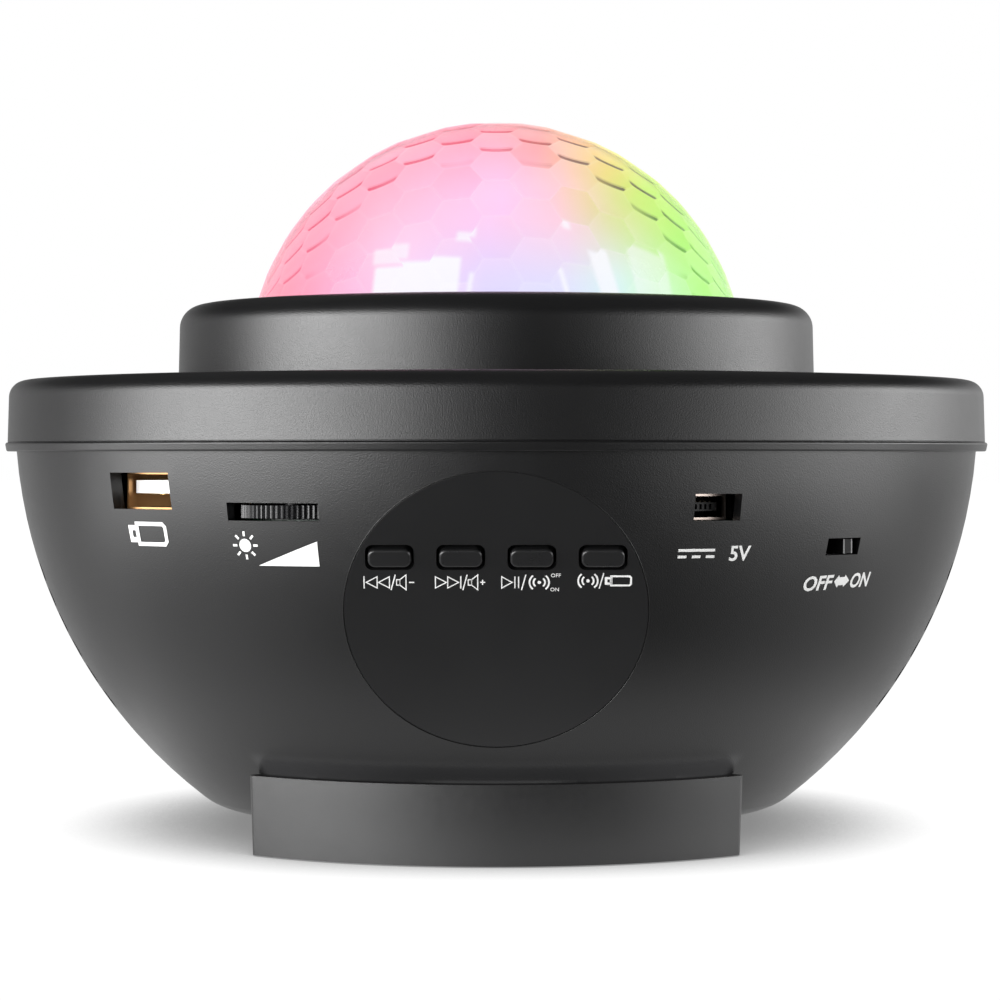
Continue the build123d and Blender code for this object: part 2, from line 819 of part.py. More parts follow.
# USB-A socket. Depths run inwards from the shell's front edge.
usb_front = clear_reach(usb_z - usb_height / 2, usb_width)
usb_inner_width = usb_width - 2 * usb_shell_wall
usb_inner_height = usb_height - 2 * usb_shell_wall

with BuildPart() as usb_socket_shell:
    with BuildSketch(wall_plane(usb_azimuth, usb_z, usb_front)):
        Rectangle(usb_width, usb_height)
        Rectangle(usb_inner_width, usb_inner_height, mode=Mode.SUBTRACT)
    extrude(amount=-usb_depth)
    leg_height = usb_centre_rise
    with BuildSketch(wall_plane(usb_azimuth, board_top_z, usb_front - usb_block_depth)):
        with Locations(
            (usb_width / 2 - usb_shell_wall / 2, leg_height / 2),
            (-usb_width / 2 + usb_shell_wall / 2, leg_height / 2),
        ):
            Rectangle(usb_shell_wall, leg_height)
    extrude(amount=-(usb_depth - usb_block_depth))

with BuildPart() as usb_socket_tongue:
    with BuildSketch(wall_plane(usb_azimuth, usb_z, usb_front - usb_depth)):
        Rectangle(usb_inner_width, usb_inner_height)
    extrude(amount=usb_block_depth)
    with BuildSketch(wall_plane(usb_azimuth, usb_z, usb_front - usb_depth)):
        with Locations((0, usb_tongue_rise)):
            Rectangle(usb_tongue_width, usb_tongue_thickness)
    extrude(amount=usb_depth - usb_tongue_inset)

with BuildPart() as usb_socket_contacts:
    contact_y = usb_tongue_rise - usb_tongue_thickness / 2 - contact_thickness / 2
    with BuildSketch(wall_plane(usb_azimuth, usb_z, usb_front - usb_depth + usb_block_depth)):
        with Locations((0, contact_y)):
            with GridLocations(usb_contact_pitch, 1, 4, 1):
                Rectangle(usb_contact_width, contact_thickness)
    extrude(amount=usb_depth - usb_block_depth - 2 * usb_tongue_inset)

# Power socket
power_front = clear_reach(board_top_z, power_width) - power_set_back
power_inner_width = power_width - 2 * power_shell_wall
power_inner_height = power_height - 2 * power_shell_wall

with BuildPart() as power_socket_shell:
    with BuildSketch(wall_plane(power_azimuth, power_z, power_front)):
        Rectangle(power_width, power_height)
        Rectangle(power_inner_width, power_inner_height, mode=Mode.SUBTRACT)
    extrude(amount=-power_depth)

with BuildPart() as power_socket_tongue:
    with BuildSketch(wall_plane(power_azimuth, power_z, power_front - power_depth)):
        Rectangle(power_inner_width, power_inner_height)
    extrude(amount=power_block_depth)
    with BuildSketch(wall_plane(power_azimuth, power_z, power_front - power_depth)):
        Rectangle(power_tongue_width, power_tongue_thickness)
    extrude(amount=power_depth - power_tongue_inset)
    with BuildSketch(wall_plane(power_azimuth, power_z, power_front - power_tongue_inset)):
        with GridLocations(power_contact_pitch, 1, power_contact_count, 1):
            Rectangle(power_contact_width, power_slot_height)
    extrude(amount=-power_slot_depth, mode=Mode.SUBTRACT)

with BuildPart() as power_socket_contacts:
    contact_y = power_tongue_thickness / 2 + contact_thickness / 2
    contact_reach = power_front - power_depth + power_block_depth
    with BuildSketch(wall_plane(power_azimuth, power_z, contact_reach)):
        with Locations((0, contact_y)):
            with GridLocations(power_contact_pitch, 1, power_contact_count, 1):
                Rectangle(power_contact_width, contact_thickness)
    extrude(amount=power_depth - power_block_depth - power_tongue_inset - contact_thickness)

# Brightness thumbwheel: the body stands on the board and holds the wheel's axle
dimmer_wheel_top_z = dimmer_z + dimmer_wheel_thickness / 2
dimmer_x, dimmer_y = polar_point(dimmer_reach, dimmer_azimuth)

with BuildPart() as dimmer_base:
    body_z = dimmer_wheel_top_z + face_gap
    leg_near = dimmer_wheel_radius + face_gap
    leg_far = leg_near + dimmer_leg_depth
    with BuildSketch(board_plane(dimmer_reach, dimmer_azimuth, body_z)):
        with Locations((0, dimmer_body_front)):
            Rectangle(
                dimmer_body_width,
                dimmer_body_front + leg_far,
                align=(Align.CENTER, Align.MAX),
            )
    extrude(amount=dimmer_body_thickness)
    with BuildSketch(board_plane(dimmer_reach, dimmer_azimuth, board_top_z)):
        with Locations((0, -leg_near)):
            Rectangle(dimmer_body_width, dimmer_leg_depth, align=(Align.CENTER, Align.MAX))
    extrude(amount=body_z - board_top_z)
    with BuildSketch(board_plane(dimmer_reach, dimmer_azimuth, body_z)):
        Circle(dimmer_axle_radius)
    extrude(amount=-(dimmer_wheel_thickness + face_gap))

with BuildPart() as dimmer_wheel:
    with BuildSketch(board_plane(dimmer_reach, dimmer_azimuth, dimmer_z)):
        Circle(dimmer_wheel_radius)
        with PolarLocations(dimmer_wheel_radius, dimmer_tooth_count):
            RegularPolygon(dimmer_tooth_depth, 4, mode=Mode.SUBTRACT)
        Circle(dimmer_axle_radius + running_gap, mode=Mode.SUBTRACT)
    extrude(amount=dimmer_wheel_thickness / 2, both=True)

# Power slide switch. At rest the lever stands at the ON end of its travel.
slider_front = clear_reach(board_bottom_z - slider_body_height, slider_body_width)
slider_lever_x = slider_travel / 2

with BuildPart() as power_switch_body:
    cavity_width = slider_block_width + slider_travel + 2 * slider_gap
    cavity_height = slider_block_height + 2 * slider_gap
    cavity_depth = slider_block_depth + 2 * slider_gap
    with BuildSketch(wall_plane(slider_azimuth, board_bottom_z, slider_front)):
        Rectangle(
            slider_body_width,
            slider_body_height,
            align=(Align.CENTER, Align.MAX),
        )
    extrude(amount=-slider_body_depth)
    with BuildSketch(wall_plane(slider_azimuth, slider_z, slider_front - slider_face_wall)):
        Rectangle(cavity_width, cavity_height)
    extrude(amount=-cavity_depth, mode=Mode.SUBTRACT)
    with BuildSketch(wall_plane(slider_azimuth, slider_z, slider_front)):
        Rectangle(
            slider_lever_width + slider_travel + 2 * slider_gap,
            slider_lever_height + 2 * slider_gap,
        )
    extrude(amount=-slider_face_wall, mode=Mode.SUBTRACT)

with BuildPart() as power_switch_lever:
    block_front = slider_front - slider_face_wall - slider_gap
    lever_tip = bowl_point(bowl_radius, slider_z)[0] - slider_lever_sink
    with BuildSketch(wall_plane(slider_azimuth, slider_z, block_front)):
        with Locations((slider_lever_x, 0)):
            Rectangle(slider_block_width, slider_block_height)
    extrude(amount=-slider_block_depth)
    with BuildSketch(wall_plane(slider_azimuth, slider_z, block_front)):
        with Locations((slider_lever_x, 0)):
            Rectangle(slider_lever_width, slider_lever_height)
    extrude(amount=lever_tip - block_front)

# --------------------------------------------------------------------------
# Button panel, its buttons, and the key board behind it
# --------------------------------------------------------------------------

key_boss_columns = (-button_pitch, button_pitch)
panel_axis = Axis(panel_plane().origin, panel_plane().z_dir)

with BuildPart() as button_panel:
    with BuildSketch(panel_plane(panel_thickness)):
        Circle(panel_radius)
    extrude(amount=panel_thickness)
    chamfer(button_panel.faces().sort_by(panel_axis)[-1].edges(), panel_edge_round)
    with BuildSketch(panel_plane(key_board_front)):
        with Locations(*[(column, button_rise) for column in key_boss_columns]):
            Circle(key_boss_radius)
    extrude(amount=key_board_front - panel_thickness)
    with BuildSketch(panel_plane(key_board_front)):
        with Locations(*[(column, button_rise) for column in key_boss_columns]):
            Circle(small_shaft_radius + thread_gap)
    extrude(amount=key_screw_length - key_board_thickness, mode=Mode.SUBTRACT)
    with BuildSketch(panel_plane(panel_thickness)):
        with Locations(*[(column, button_rise) for column in button_columns]):
            RectangleRounded(button_window_width, button_window_height, button_corner)
    extrude(amount=panel_thickness, mode=Mode.SUBTRACT)

with BuildPart() as key_board:
    with BuildSketch(panel_plane(key_board_back)):
        with Locations((0, button_rise)):
            Rectangle(key_board_width, key_board_height)
        with Locations(*[(column, button_rise) for column in key_boss_columns]):
            Circle(small_shaft_radius + clearance_gap, mode=Mode.SUBTRACT)
    extrude(amount=key_board_thickness)

key_screw_planes = []
for column in key_boss_columns:
    back = panel_plane(key_board_back)
    spot = back.origin + back.x_dir * column + back.y_dir * button_rise
    key_screw_planes.append(Plane(origin=spot, x_dir=back.x_dir, z_dir=back.z_dir))
key_board_screws = make_screws(
    key_screw_planes,
    small_screw,
    key_screw_length - thread_gap,
)

with BuildPart() as key_switches:
    with BuildSketch(panel_plane(key_board_front)):
        with Locations(*[(column, button_rise) for column in button_columns]):
            Rectangle(switch_size, switch_size)
    extrude(amount=switch_height)
    with BuildSketch(panel_plane(switch_front)):
        with Locations(*[(column, button_rise) for column in button_columns]):
            Circle(plunger_radius + running_gap)
    extrude(amount=-(plunger_length - plunger_rise + 2 * button_travel), mode=Mode.SUBTRACT)


def make_button(column):
    """Cap with a lip that holds it behind the panel, and a stem to its switch."""
    with BuildPart() as cap:
        with BuildSketch(panel_plane(panel_thickness)):
            with Locations((column, button_rise)):
                RectangleRounded(button_width, button_height, button_corner)
        extrude(amount=panel_thickness + button_proud)
        fillet(cap.faces().sort_by(panel_axis)[-1].edges(), button_edge_round)
        lip_plane = panel_plane(panel_thickness + button_lip_thickness)
        with BuildSketch(lip_plane):
            with Locations((column, button_rise + button_height / 2)):
                Rectangle(
                    button_width,
                    button_height + button_lip_height,
                    align=(Align.CENTER, Align.MAX),
                )
        extrude(amount=button_lip_thickness)
        with BuildSketch(lip_plane):
            with Locations((column, button_rise)):
                Circle(button_stem_radius)
        extrude(amount=-button_stem_length)
    return cap


def make_plunger(column):
    """Plunger of one tact switch, which the button's stem rests on."""
    with BuildPart() as plunger:
        tip = panel_thickness + button_lip_thickness + button_stem_length
        with BuildSketch(panel_plane(tip)):
            with Locations((column, button_rise)):
                Circle(plunger_radius)
        extrude(amount=-plunger_length)
    return plunger


button_names = ("previous", "next", "play", "source")
buttons = {name: make_button(column) for name, column in zip(button_names, button_columns)}
plungers = {name: make_plunger(column) for name, column in zip(button_names, button_columns)}

# --------------------------------------------------------------------------
# Light engine: LED board, reflector cup, laser, turning lens and its drive
# --------------------------------------------------------------------------

with BuildPart() as led_board:
    with BuildSketch(Plane.XY.offset(chassis_top_z)):
        Circle(cup_radius - cup_base_wall - led_board_gap)
        Circle(laser_hole_radius, mode=Mode.SUBTRACT)
    extrude(amount=led_board_thickness)

with BuildPart() as leds:
    with BuildSketch(Plane.XY.offset(chassis_top_z + led_board_thickness)):
        with PolarLocations(led_circle, led_count, start_angle=45):
            Rectangle(led_size, led_size)
    extrude(amount=led_height)

with BuildPart() as led_cup:
    cup_top_z = chassis_top_z + cup_height
    cup_shoulder_z = chassis_top_z + cup_shoulder_height
    with BuildSketch(Plane.XZ):
        with BuildLine():
            Polyline(
                (cup_radius - cup_base_wall, chassis_top_z),
                (cup_radius + cup_shoulder_width, chassis_top_z),
                (cup_radius + cup_shoulder_width, cup_shoulder_z),
                (cup_radius, cup_shoulder_z),
                (cup_radius, cup_top_z),
                (cup_radius - cup_rim_wall, cup_top_z),
                close=True,
            )
        make_face()
    revolve(axis=Axis.Z)

with BuildPart() as laser_module:
    laser_bottom_z = chassis_bottom_z - laser_sink
    with BuildSketch(Plane.XY.offset(laser_bottom_z)):
        Circle(laser_radius)
    extrude(amount=laser_length)
    chamfer(laser_module.edges().filter_by(GeomType.CIRCLE), laser_chamfer)
    with BuildSketch(Plane.XY.offset(laser_bottom_z + laser_length)):
        Circle(laser_nose_radius)
    extrude(amount=laser_nose_length)

ring_bottom_z = cup_shoulder_z + face_gap
ring_top_z = ring_bottom_z + gear_height

with BuildPart() as ring_gear:
    with BuildSketch(Plane.XY.offset(ring_bottom_z)):
        with BuildLine():
            Polyline(*gear_outline(ring_teeth, 90), close=True)
        make_face()
        Circle(ring_bore_radius, mode=Mode.SUBTRACT)
    extrude(amount=gear_height)

with BuildPart() as ripple_lens:
    ripple_radius = ring_pitch_radius - gear_dedendum * gear_module - ripple_edge_gap
    with BuildSketch(Plane.XY.offset(ring_top_z)):
        Circle(ripple_radius)
    extrude(amount=ripple_thickness)
    chamfer(ripple_lens.faces().sort_by(Axis.Z)[-1].edges(), ripple_chamfer)

with BuildPart() as star_grating:
    with BuildSketch(Plane.XY.offset(ring_top_z + ripple_thickness)):
        Circle(grating_radius)
    extrude(amount=grating_thickness)

pinion_plane = Plane(origin=(0, motor_y, ring_bottom_z))

with BuildPart() as drive_pinion:
    with BuildSketch(pinion_plane):
        with BuildLine():
            Polyline(*gear_outline(pinion_teeth, 270 + 180 / pinion_teeth), close=True)
        make_face()
        Circle(shaft_radius, mode=Mode.SUBTRACT)
    extrude(amount=gear_height)

with BuildPart() as motor_shaft:
    shaft_bottom_z = chassis_bottom_z - motor_bore_depth + face_gap
    with BuildSketch(Plane(origin=(0, motor_y, shaft_bottom_z))):
        Circle(shaft_radius)
    extrude(amount=ring_top_z + shaft_overrun - shaft_bottom_z)

with BuildPart() as motor:
    with BuildSketch(Plane(origin=(0, motor_y, chassis_bottom_z))):
        Circle(motor_radius)
    extrude(amount=-motor_length)
    chamfer(motor.edges().filter_by(GeomType.CIRCLE).sort_by(Axis.Z)[0], motor_chamfer)
    with BuildSketch(Plane.XY.offset(chassis_bottom_z - motor_flange_thickness)):
        with Locations((0, motor_y)):
            Rectangle(2 * motor_screw_offset, 2 * motor_ear_radius)
        with Locations(*motor_screw_points):
            Circle(motor_ear_radius)
        with Locations(*motor_screw_points):
            Circle(small_shaft_radius + thread_gap, mode=Mode.SUBTRACT)
    extrude(amount=motor_flange_thickness)
    with BuildSketch(Plane(origin=(0, motor_y, chassis_bottom_z))):
        Circle(motor_boss_radius)
    extrude(amount=motor_boss_height)
    with BuildSketch(Plane(origin=(0, motor_y, chassis_bottom_z + motor_boss_height))):
        Circle(shaft_radius + running_gap)
    extrude(amount=-(motor_boss_height + motor_bore_depth), mode=Mode.SUBTRACT)

motor_screws = make_screws(
    down_planes(motor_screw_points, chassis_top_z),
    small_screw,
    motor_screw_length,
)

# --------------------------------------------------------------------------
# Loudspeakers. Profiles are drawn in (s, r): s runs outwards along the
# speaker's axis from the seat, r is the distance from that axis.
# --------------------------------------------------------------------------


def speaker_section(side):
    """Plane through a speaker's axis, x outwards and y up."""
    return Plane(
        origin=(side * well_seat, 0, speaker_z),
        x_dir=(side, 0, 0),
        z_dir=(0, -side, 0),
    )


def speaker_axis(side):
    """The speaker's own axis."""
    return Axis((side * well_seat, 0, speaker_z), (side, 0, 0))


surround_outer = cone_radius + surround_gap + surround_width
basket_bore = surround_outer + surround_seat_gap


def make_speaker_frame(side):
    """Pressed basket with a flange and four ears against the well."""
    with BuildPart() as frame:
        with BuildSketch(speaker_section(side)):
            with BuildLine():
                Polyline(
                    (0, basket_bore),
                    (0, speaker_radius),
                    (-speaker_flange_thickness, speaker_radius),
                    (-speaker_flange_thickness, basket_bore + basket_wall),
                    (-basket_depth + basket_wall, basket_foot_radius),
                    (-basket_depth, basket_foot_radius),
                    (-basket_depth, pole_gap_radius),
                    (-basket_depth + basket_wall, pole_gap_radius),
                    (-basket_depth + basket_wall, basket_foot_radius - basket_wall),
                    (-speaker_flange_thickness, basket_bore - basket_wall),
                    (-speaker_flange_thickness + surround_step, basket_bore - basket_wall),
                    (-speaker_flange_thickness + surround_step, basket_bore),
                    close=True,
                )
            make_face()
        revolve(axis=speaker_axis(side))
        with BuildSketch(speaker_plane(side, well_seat)):
            with PolarLocations(speaker_screw_circle, 4, start_angle=45):
                Circle(speaker_ear_radius)
            Circle(speaker_radius - well_wall / 2, mode=Mode.SUBTRACT)
        extrude(amount=-speaker_flange_thickness)
        with BuildSketch(speaker_plane(side, well_seat)):
            with PolarLocations(speaker_screw_circle, 4, start_angle=45):
                Circle(small_shaft_radius + clearance_gap)
        extrude(amount=-speaker_flange_thickness, mode=Mode.SUBTRACT)
    return frame


def make_speaker_magnet(side):
    """Magnet, yoke and pole piece, with the gap for the voice coil."""
    back = -basket_depth - magnet_depth
    with BuildPart() as magnet:
        with BuildSketch(speaker_section(side)):
            with BuildLine():
                Polyline(
                    (back, 0),
                    (back, magnet_radius),
                    (-basket_depth, magnet_radius),
                    (-basket_depth, pole_gap_radius),
                    (back + yoke_thickness, pole_gap_radius),
                    (back + yoke_thickness, pole_radius),
                    (-basket_depth + basket_wall, pole_radius),
                    (-basket_depth + basket_wall, 0),
                    close=True,
                )
            make_face()
        revolve(axis=speaker_axis(side))
    return magnet


def make_speaker_surround(side):
    """Half roll between the cone and the basket's step."""
    inner = cone_radius + surround_gap
    outer = surround_outer
    low = -speaker_flange_thickness + surround_step
    outer_skin = outer - surround_skin
    inner_skin = inner + surround_skin
    middle = (inner + outer) / 2
    with BuildPart() as surround:
        with BuildSketch(speaker_section(side)):
            with BuildLine():
                Polyline((0, outer), (low, outer), (low, outer_skin), (0, outer_skin))
                under = (surround_rise - surround_skin, middle)
                ThreePointArc((0, outer_skin), under, (0, inner_skin))
                Polyline((0, inner_skin), (low, inner_skin), (low, inner), (0, inner))
                ThreePointArc((0, inner), (surround_rise, middle), (0, outer))
            make_face()
        revolve(axis=speaker_axis(side))
    return surround


def make_speaker_cone(side):
    """Paper cone, voice coil and dust cap, which move as one."""
    coil_inner = coil_radius - coil_wall
    foot = -cone_depth
    cap_radius = (coil_inner**2 + cap_rise**2) / (2 * cap_rise)
    cap_centre = foot + cap_rise - cap_radius
    outer_radius = cap_radius + cone_thickness
    cap_edge = cap_centre + math.sqrt(outer_radius**2 - coil_radius**2)

    def cap_point(radius, share):
        angle = share * math.asin(coil_inner / cap_radius)
        return (cap_centre + radius * math.cos(angle), radius * math.sin(angle))

    with BuildPart() as cone:
        with BuildSketch(speaker_section(side)):
            with BuildLine():
                Polyline(
                    (0, cone_radius),
                    (-cone_thickness, cone_radius),
                    (foot - cone_thickness, coil_radius),
                    (foot - coil_length, coil_radius),
                    (foot - coil_length, coil_inner),
                    (foot, coil_inner),
                )
                ThreePointArc((foot, coil_inner), cap_point(cap_radius, 0.5), cap_point(cap_radius, 0))
                Line(cap_point(cap_radius, 0), cap_point(outer_radius, 0))
                ThreePointArc(
                    cap_point(outer_radius, 0),
                    cap_point(outer_radius, 0.5),
                    (cap_edge, coil_radius),
                )
                Line((cap_edge, coil_radius), (0, cone_radius))
            make_face()
        revolve(axis=speaker_axis(side))
    return cone


speakers = {}
for side_name, side in (("right", 1), ("left", -1)):
    speakers[f"{side_name}_speaker_frame"] = make_speaker_frame(side)
    speakers[f"{side_name}_speaker_magnet"] = make_speaker_magnet(side)
    speakers[f"{side_name}_speaker_surround"] = make_speaker_surround(side)
    speakers[f"{side_name}_speaker_cone"] = make_speaker_cone(side)

speaker_screw_planes = []
for side in (1, -1):
    seat = speaker_plane(side, well_seat - speaker_flange_thickness)
    for quarter in range(4):
        turn_angle = math.radians(45 + 90 * quarter)
        across = seat.x_dir * (speaker_screw_circle * math.cos(turn_angle))
        upwards = seat.y_dir * (speaker_screw_circle * math.sin(turn_angle))
        spot = seat.origin + across + upwards
        speaker_screw_planes.append(Plane(origin=spot, x_dir=seat.x_dir, z_dir=seat.z_dir))
speaker_screws = make_screws(
    speaker_screw_planes,
    small_screw,
    speaker_screw_length + speaker_flange_thickness - thread_gap,
)

# --------------------------------------------------------------------------
# Stand: a disc under the bowl and two ribbed wings that hug it
# --------------------------------------------------------------------------

disc_bottom_z = bowl_bottom_z - disc_thickness
pad_points = [polar_point(pad_circle, middle + a) for middle in (0, 180) for a in pad_angles]


def stand_sector(radius, cut_angle, corner_round):
    """Front and back sectors outside the disc, less cut_angle at each end."""
    half = stand_half_angle - cut_angle
    with BuildSketch() as sectors:
        for middle in (front_angle, front_angle + 180):
            with BuildLine():
                CenterArc((0, 0), radius, middle - half, 2 * half)
                for end in (middle - half, middle + half):
                    angle = math.radians(end)
                    Line((0, 0), (radius * math.cos(angle), radius * math.sin(angle)))
            make_face()
        Circle(disc_radius - stand_wall, mode=Mode.SUBTRACT)
        if corner_round:
            outer = sectors.vertices().filter_by(lambda v: math.hypot(v.X, v.Y) > disc_radius)
            fillet(outer, corner_round)
    return sectors.sketch


stand_inner_radius = stand_radius - stand_wall
wall_angle = math.degrees(stand_wall / stand_radius)
outer_sectors = stand_sector(stand_radius, 0, stand_corner_round)
inner_sectors = stand_sector(stand_inner_radius, wall_angle, 0)
stand_height = stand_top_z - stand_lift

with BuildPart() as bowl_space:
    with Locations((0, 0, bowl_centre_z)):
        Sphere(bowl_radius + face_gap / 2)
    split(bisect_by=Plane.XY.offset(bowl_bottom_z), keep=Keep.TOP)

with BuildPart() as stand:
    with BuildSketch(Plane.XY.offset(stand_top_z)):
        add(outer_sectors)
    extrude(amount=-stand_height, taper=stand_draft_angle)
    with BuildSketch(Plane.XY.offset(stand_top_z)):
        add(inner_sectors)
    extrude(amount=-stand_height, taper=stand_draft_angle, mode=Mode.SUBTRACT)
    # Ribs across the wings, and bosses for the pads
    rib_foot_z = stand_lift + rib_lift
    for middle in (0, 180):
        for rib_angle in rib_angles:
            rib_middle = (disc_radius - stand_wall + stand_inner_radius) / 2
            rib_length = stand_inner_radius - disc_radius + stand_wall
            with BuildSketch(board_plane(rib_middle, middle + rib_angle, rib_foot_z)):
                Rectangle(rib_thickness, rib_length)
            extrude(amount=stand_top_z - rib_foot_z)
    with BuildSketch(Plane.XY.offset(stand_lift)):
        with Locations(*pad_points):
            Circle(pad_radius + pad_boss_wall)
    extrude(amount=stand_height)
    with BuildSketch(Plane.XY.offset(disc_bottom_z)):
        Circle(disc_radius)
    extrude(amount=disc_thickness)
    add(bowl_space.part, mode=Mode.SUBTRACT)
    with BuildSketch(Plane.XY.offset(stand_lift)):
        with Locations(*pad_points):
            Circle(pad_radius + thread_gap)
    extrude(amount=pad_sink, mode=Mode.SUBTRACT)
    with BuildSketch(Plane.XY.offset(disc_bottom_z)):
        with Locations(*stand_screw_points):
            Circle(big_shaft_radius + clearance_gap)
    extrude(amount=disc_thickness, mode=Mode.SUBTRACT)
    with BuildSketch(Plane.XY.offset(disc_bottom_z)):
        with Locations(*stand_screw_points):
            Circle(big_head_radius + clearance_gap)
    extrude(amount=big_head_height, mode=Mode.SUBTRACT)

stand_screws = make_screws(
    up_planes(stand_screw_points, disc_bottom_z + big_head_height),
    big_screw,
    stand_screw_length - thread_gap,
)

with BuildPart() as stand_pads:
    with BuildSketch():
        with Locations(*pad_points):
            Circle(pad_radius)
    extrude(amount=stand_lift + pad_sink)

# --------------------------------------------------------------------------
# One STEP file for each sub-part
# --------------------------------------------------------------------------

pieces = {
    "lower_case": lower_case,
    "upper_case": upper_case,
    "stand": stand,
    "stand_pads": stand_pads,
    "stand_screws": stand_screws,
    "case_screws": case_screws,
    "chassis": chassis,
    "chassis_screws": chassis_screws,
    "dome_lens": dome_lens,
    "lens_retainer": lens_retainer,
    "lens_retainer_screws": lens_retainer_screws,
    "button_panel": button_panel,
    "key_board": key_board,
    "key_board_screws": key_board_screws,
    "key_switches": key_switches,
    "main_board": main_board,
    "board_screws": board_screws,
    "chips": chips,
    "capacitors": capacitors,
    "board_connectors": board_connectors,
    "usb_socket_shell": usb_socket_shell,
    "usb_socket_tongue": usb_socket_tongue,
    "usb_socket_contacts": usb_socket_contacts,
    "power_socket_shell": power_socket_shell,
    "power_socket_tongue": power_socket_tongue,
    "power_socket_contacts": power_socket_contacts,
    "dimmer_base": dimmer_base,
    "dimmer_wheel": dimmer_wheel,
    "power_switch_body": power_switch_body,
    "power_switch_lever": power_switch_lever,
    "led_board": led_board,
    "leds": leds,
    "led_cup": led_cup,
    "laser_module": laser_module,
    "ring_gear": ring_gear,
    "ripple_lens": ripple_lens,
    "star_grating": star_grating,
    "drive_pinion": drive_pinion,
    "motor_shaft": motor_shaft,
    "motor": motor,
    "motor_screws": motor_screws,
    "speaker_screws": speaker_screws,
}
for name, button in buttons.items():
    pieces[f"button_{name}"] = button
for name, plunger in plungers.items():
    pieces[f"plunger_{name}"] = plunger
pieces.update(speakers)

os.makedirs("parts", exist_ok=True)
for name, piece in pieces.items():
    piece.part.label = name
    export_step(piece.part, f"parts/{name}.step")
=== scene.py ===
import json
import math

import bmesh
import bpy
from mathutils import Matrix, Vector


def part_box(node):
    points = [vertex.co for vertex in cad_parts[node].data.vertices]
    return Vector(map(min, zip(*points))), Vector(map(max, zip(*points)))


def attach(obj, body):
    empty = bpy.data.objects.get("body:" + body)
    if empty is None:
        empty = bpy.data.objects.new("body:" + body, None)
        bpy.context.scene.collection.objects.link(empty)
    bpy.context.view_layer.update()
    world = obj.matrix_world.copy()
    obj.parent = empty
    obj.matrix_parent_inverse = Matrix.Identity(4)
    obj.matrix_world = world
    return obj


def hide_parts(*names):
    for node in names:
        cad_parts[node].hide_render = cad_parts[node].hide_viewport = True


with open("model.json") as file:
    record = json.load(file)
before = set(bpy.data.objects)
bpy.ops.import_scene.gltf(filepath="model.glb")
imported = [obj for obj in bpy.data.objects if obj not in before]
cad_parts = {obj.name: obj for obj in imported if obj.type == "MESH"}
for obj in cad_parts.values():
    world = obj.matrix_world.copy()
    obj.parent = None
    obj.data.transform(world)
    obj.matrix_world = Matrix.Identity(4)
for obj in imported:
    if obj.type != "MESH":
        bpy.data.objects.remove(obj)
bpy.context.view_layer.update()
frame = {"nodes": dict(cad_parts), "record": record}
nodes = frame["nodes"]

# --------------------------------------------------------------------------
# Sizes. Lengths are in metres, angles in radians.
# --------------------------------------------------------------------------

MM = 0.001

# Case: the bowl is part of a sphere, and the key panel closes it with a plane
BOWL_RADIUS = 82.25 * MM
BOWL_CENTRE = Vector((0, 0, 70.0 * MM))
PANEL_TILT = math.radians(22.57)
PANEL_RADIUS = 22.7 * MM
PANEL_GAP = 0.12 * MM
BUTTON_PITCH = 10.5 * MM

# What sits in the bowl's wall, by its angle from the front towards +X
USB_SOCKET_AZIMUTH = math.radians(-42.2)
POWER_SOCKET_AZIMUTH = math.radians(24.0)
LEVER_AZIMUTH = math.radians(42.0)

# Bead round the key panel
BEAD_RADIUS = 0.055 * MM
BEAD_STEPS = 240
BEAD_CORNERS = 8
BEAD_SINK = 0.3  # of the bead's middle below the panel's face, as a share of its radius

# Lid and collar
SEAM_Z = 65.1 * MM
LID_RADIUS = 83.5 * MM
LID_TOP_Z = 75.5 * MM
LID_ROUND = 2.8 * MM
COLLAR_RADIUS = 54.7 * MM
COLLAR_TOP_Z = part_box("upper_case")[1].z
COLLAR_ROUND = 3.8 * MM
COLLAR_FOOT_ROUND = 0.6 * MM
COLLAR_HOLE_RADIUS = 41.7 * MM
WALL_DRAFT = 0.3 * MM  # how far a wall leans in by its top
SEAM_GAP = 0.05 * MM
SKIN_LIFT = 0.02 * MM  # of the lid's skin, to either side of the CAD surface
LID_SEGMENTS = 256
ARC_STEPS = 12
ARC_GUARD = 0.12 * MM  # straight left at each end of an arc, which keeps the shading flat

# Stand: a curved wall in front and one behind, with their tops close under the bowl
STAND_TOP_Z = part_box("stand")[1].z
STAND_HALF_SHARE = 0.635  # sine of half the angle that each wall spans

# Dome lens: a clear skin over hexagonal facets, in columns round the X axis
DOME_RADIUS = 43.1 * MM
DOME_CENTRE_Z = 77.45 * MM
DOME_SKIN = 0.14 * MM
FLANGE_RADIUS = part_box("dome_lens")[1].x
FLANGE_BOTTOM_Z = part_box("dome_lens")[0].z
FLANGE_THICKNESS = 2.0 * MM
DOME_SEGMENTS = 128
DOME_STEPS = 28
CLEAR_IOR = 1.06  # low, so that the thin skin stays clear up to its edge
FACET_COLUMN_PITCH = math.radians(8.7)
FACET_ROW_PITCH = math.radians(10.9)
FACET_COLUMNS = 19
FACET_ROWS = 16
FACET_ROW_START = math.radians(6.95)  # of the lowest facet in front, above the horizon
FACET_THICKNESS = 0.5 * MM
FACET_GAP = 0.03 * MM  # between the skin and the facets
FACET_SINK = 0.25 * MM  # of a facet's middle below its corners

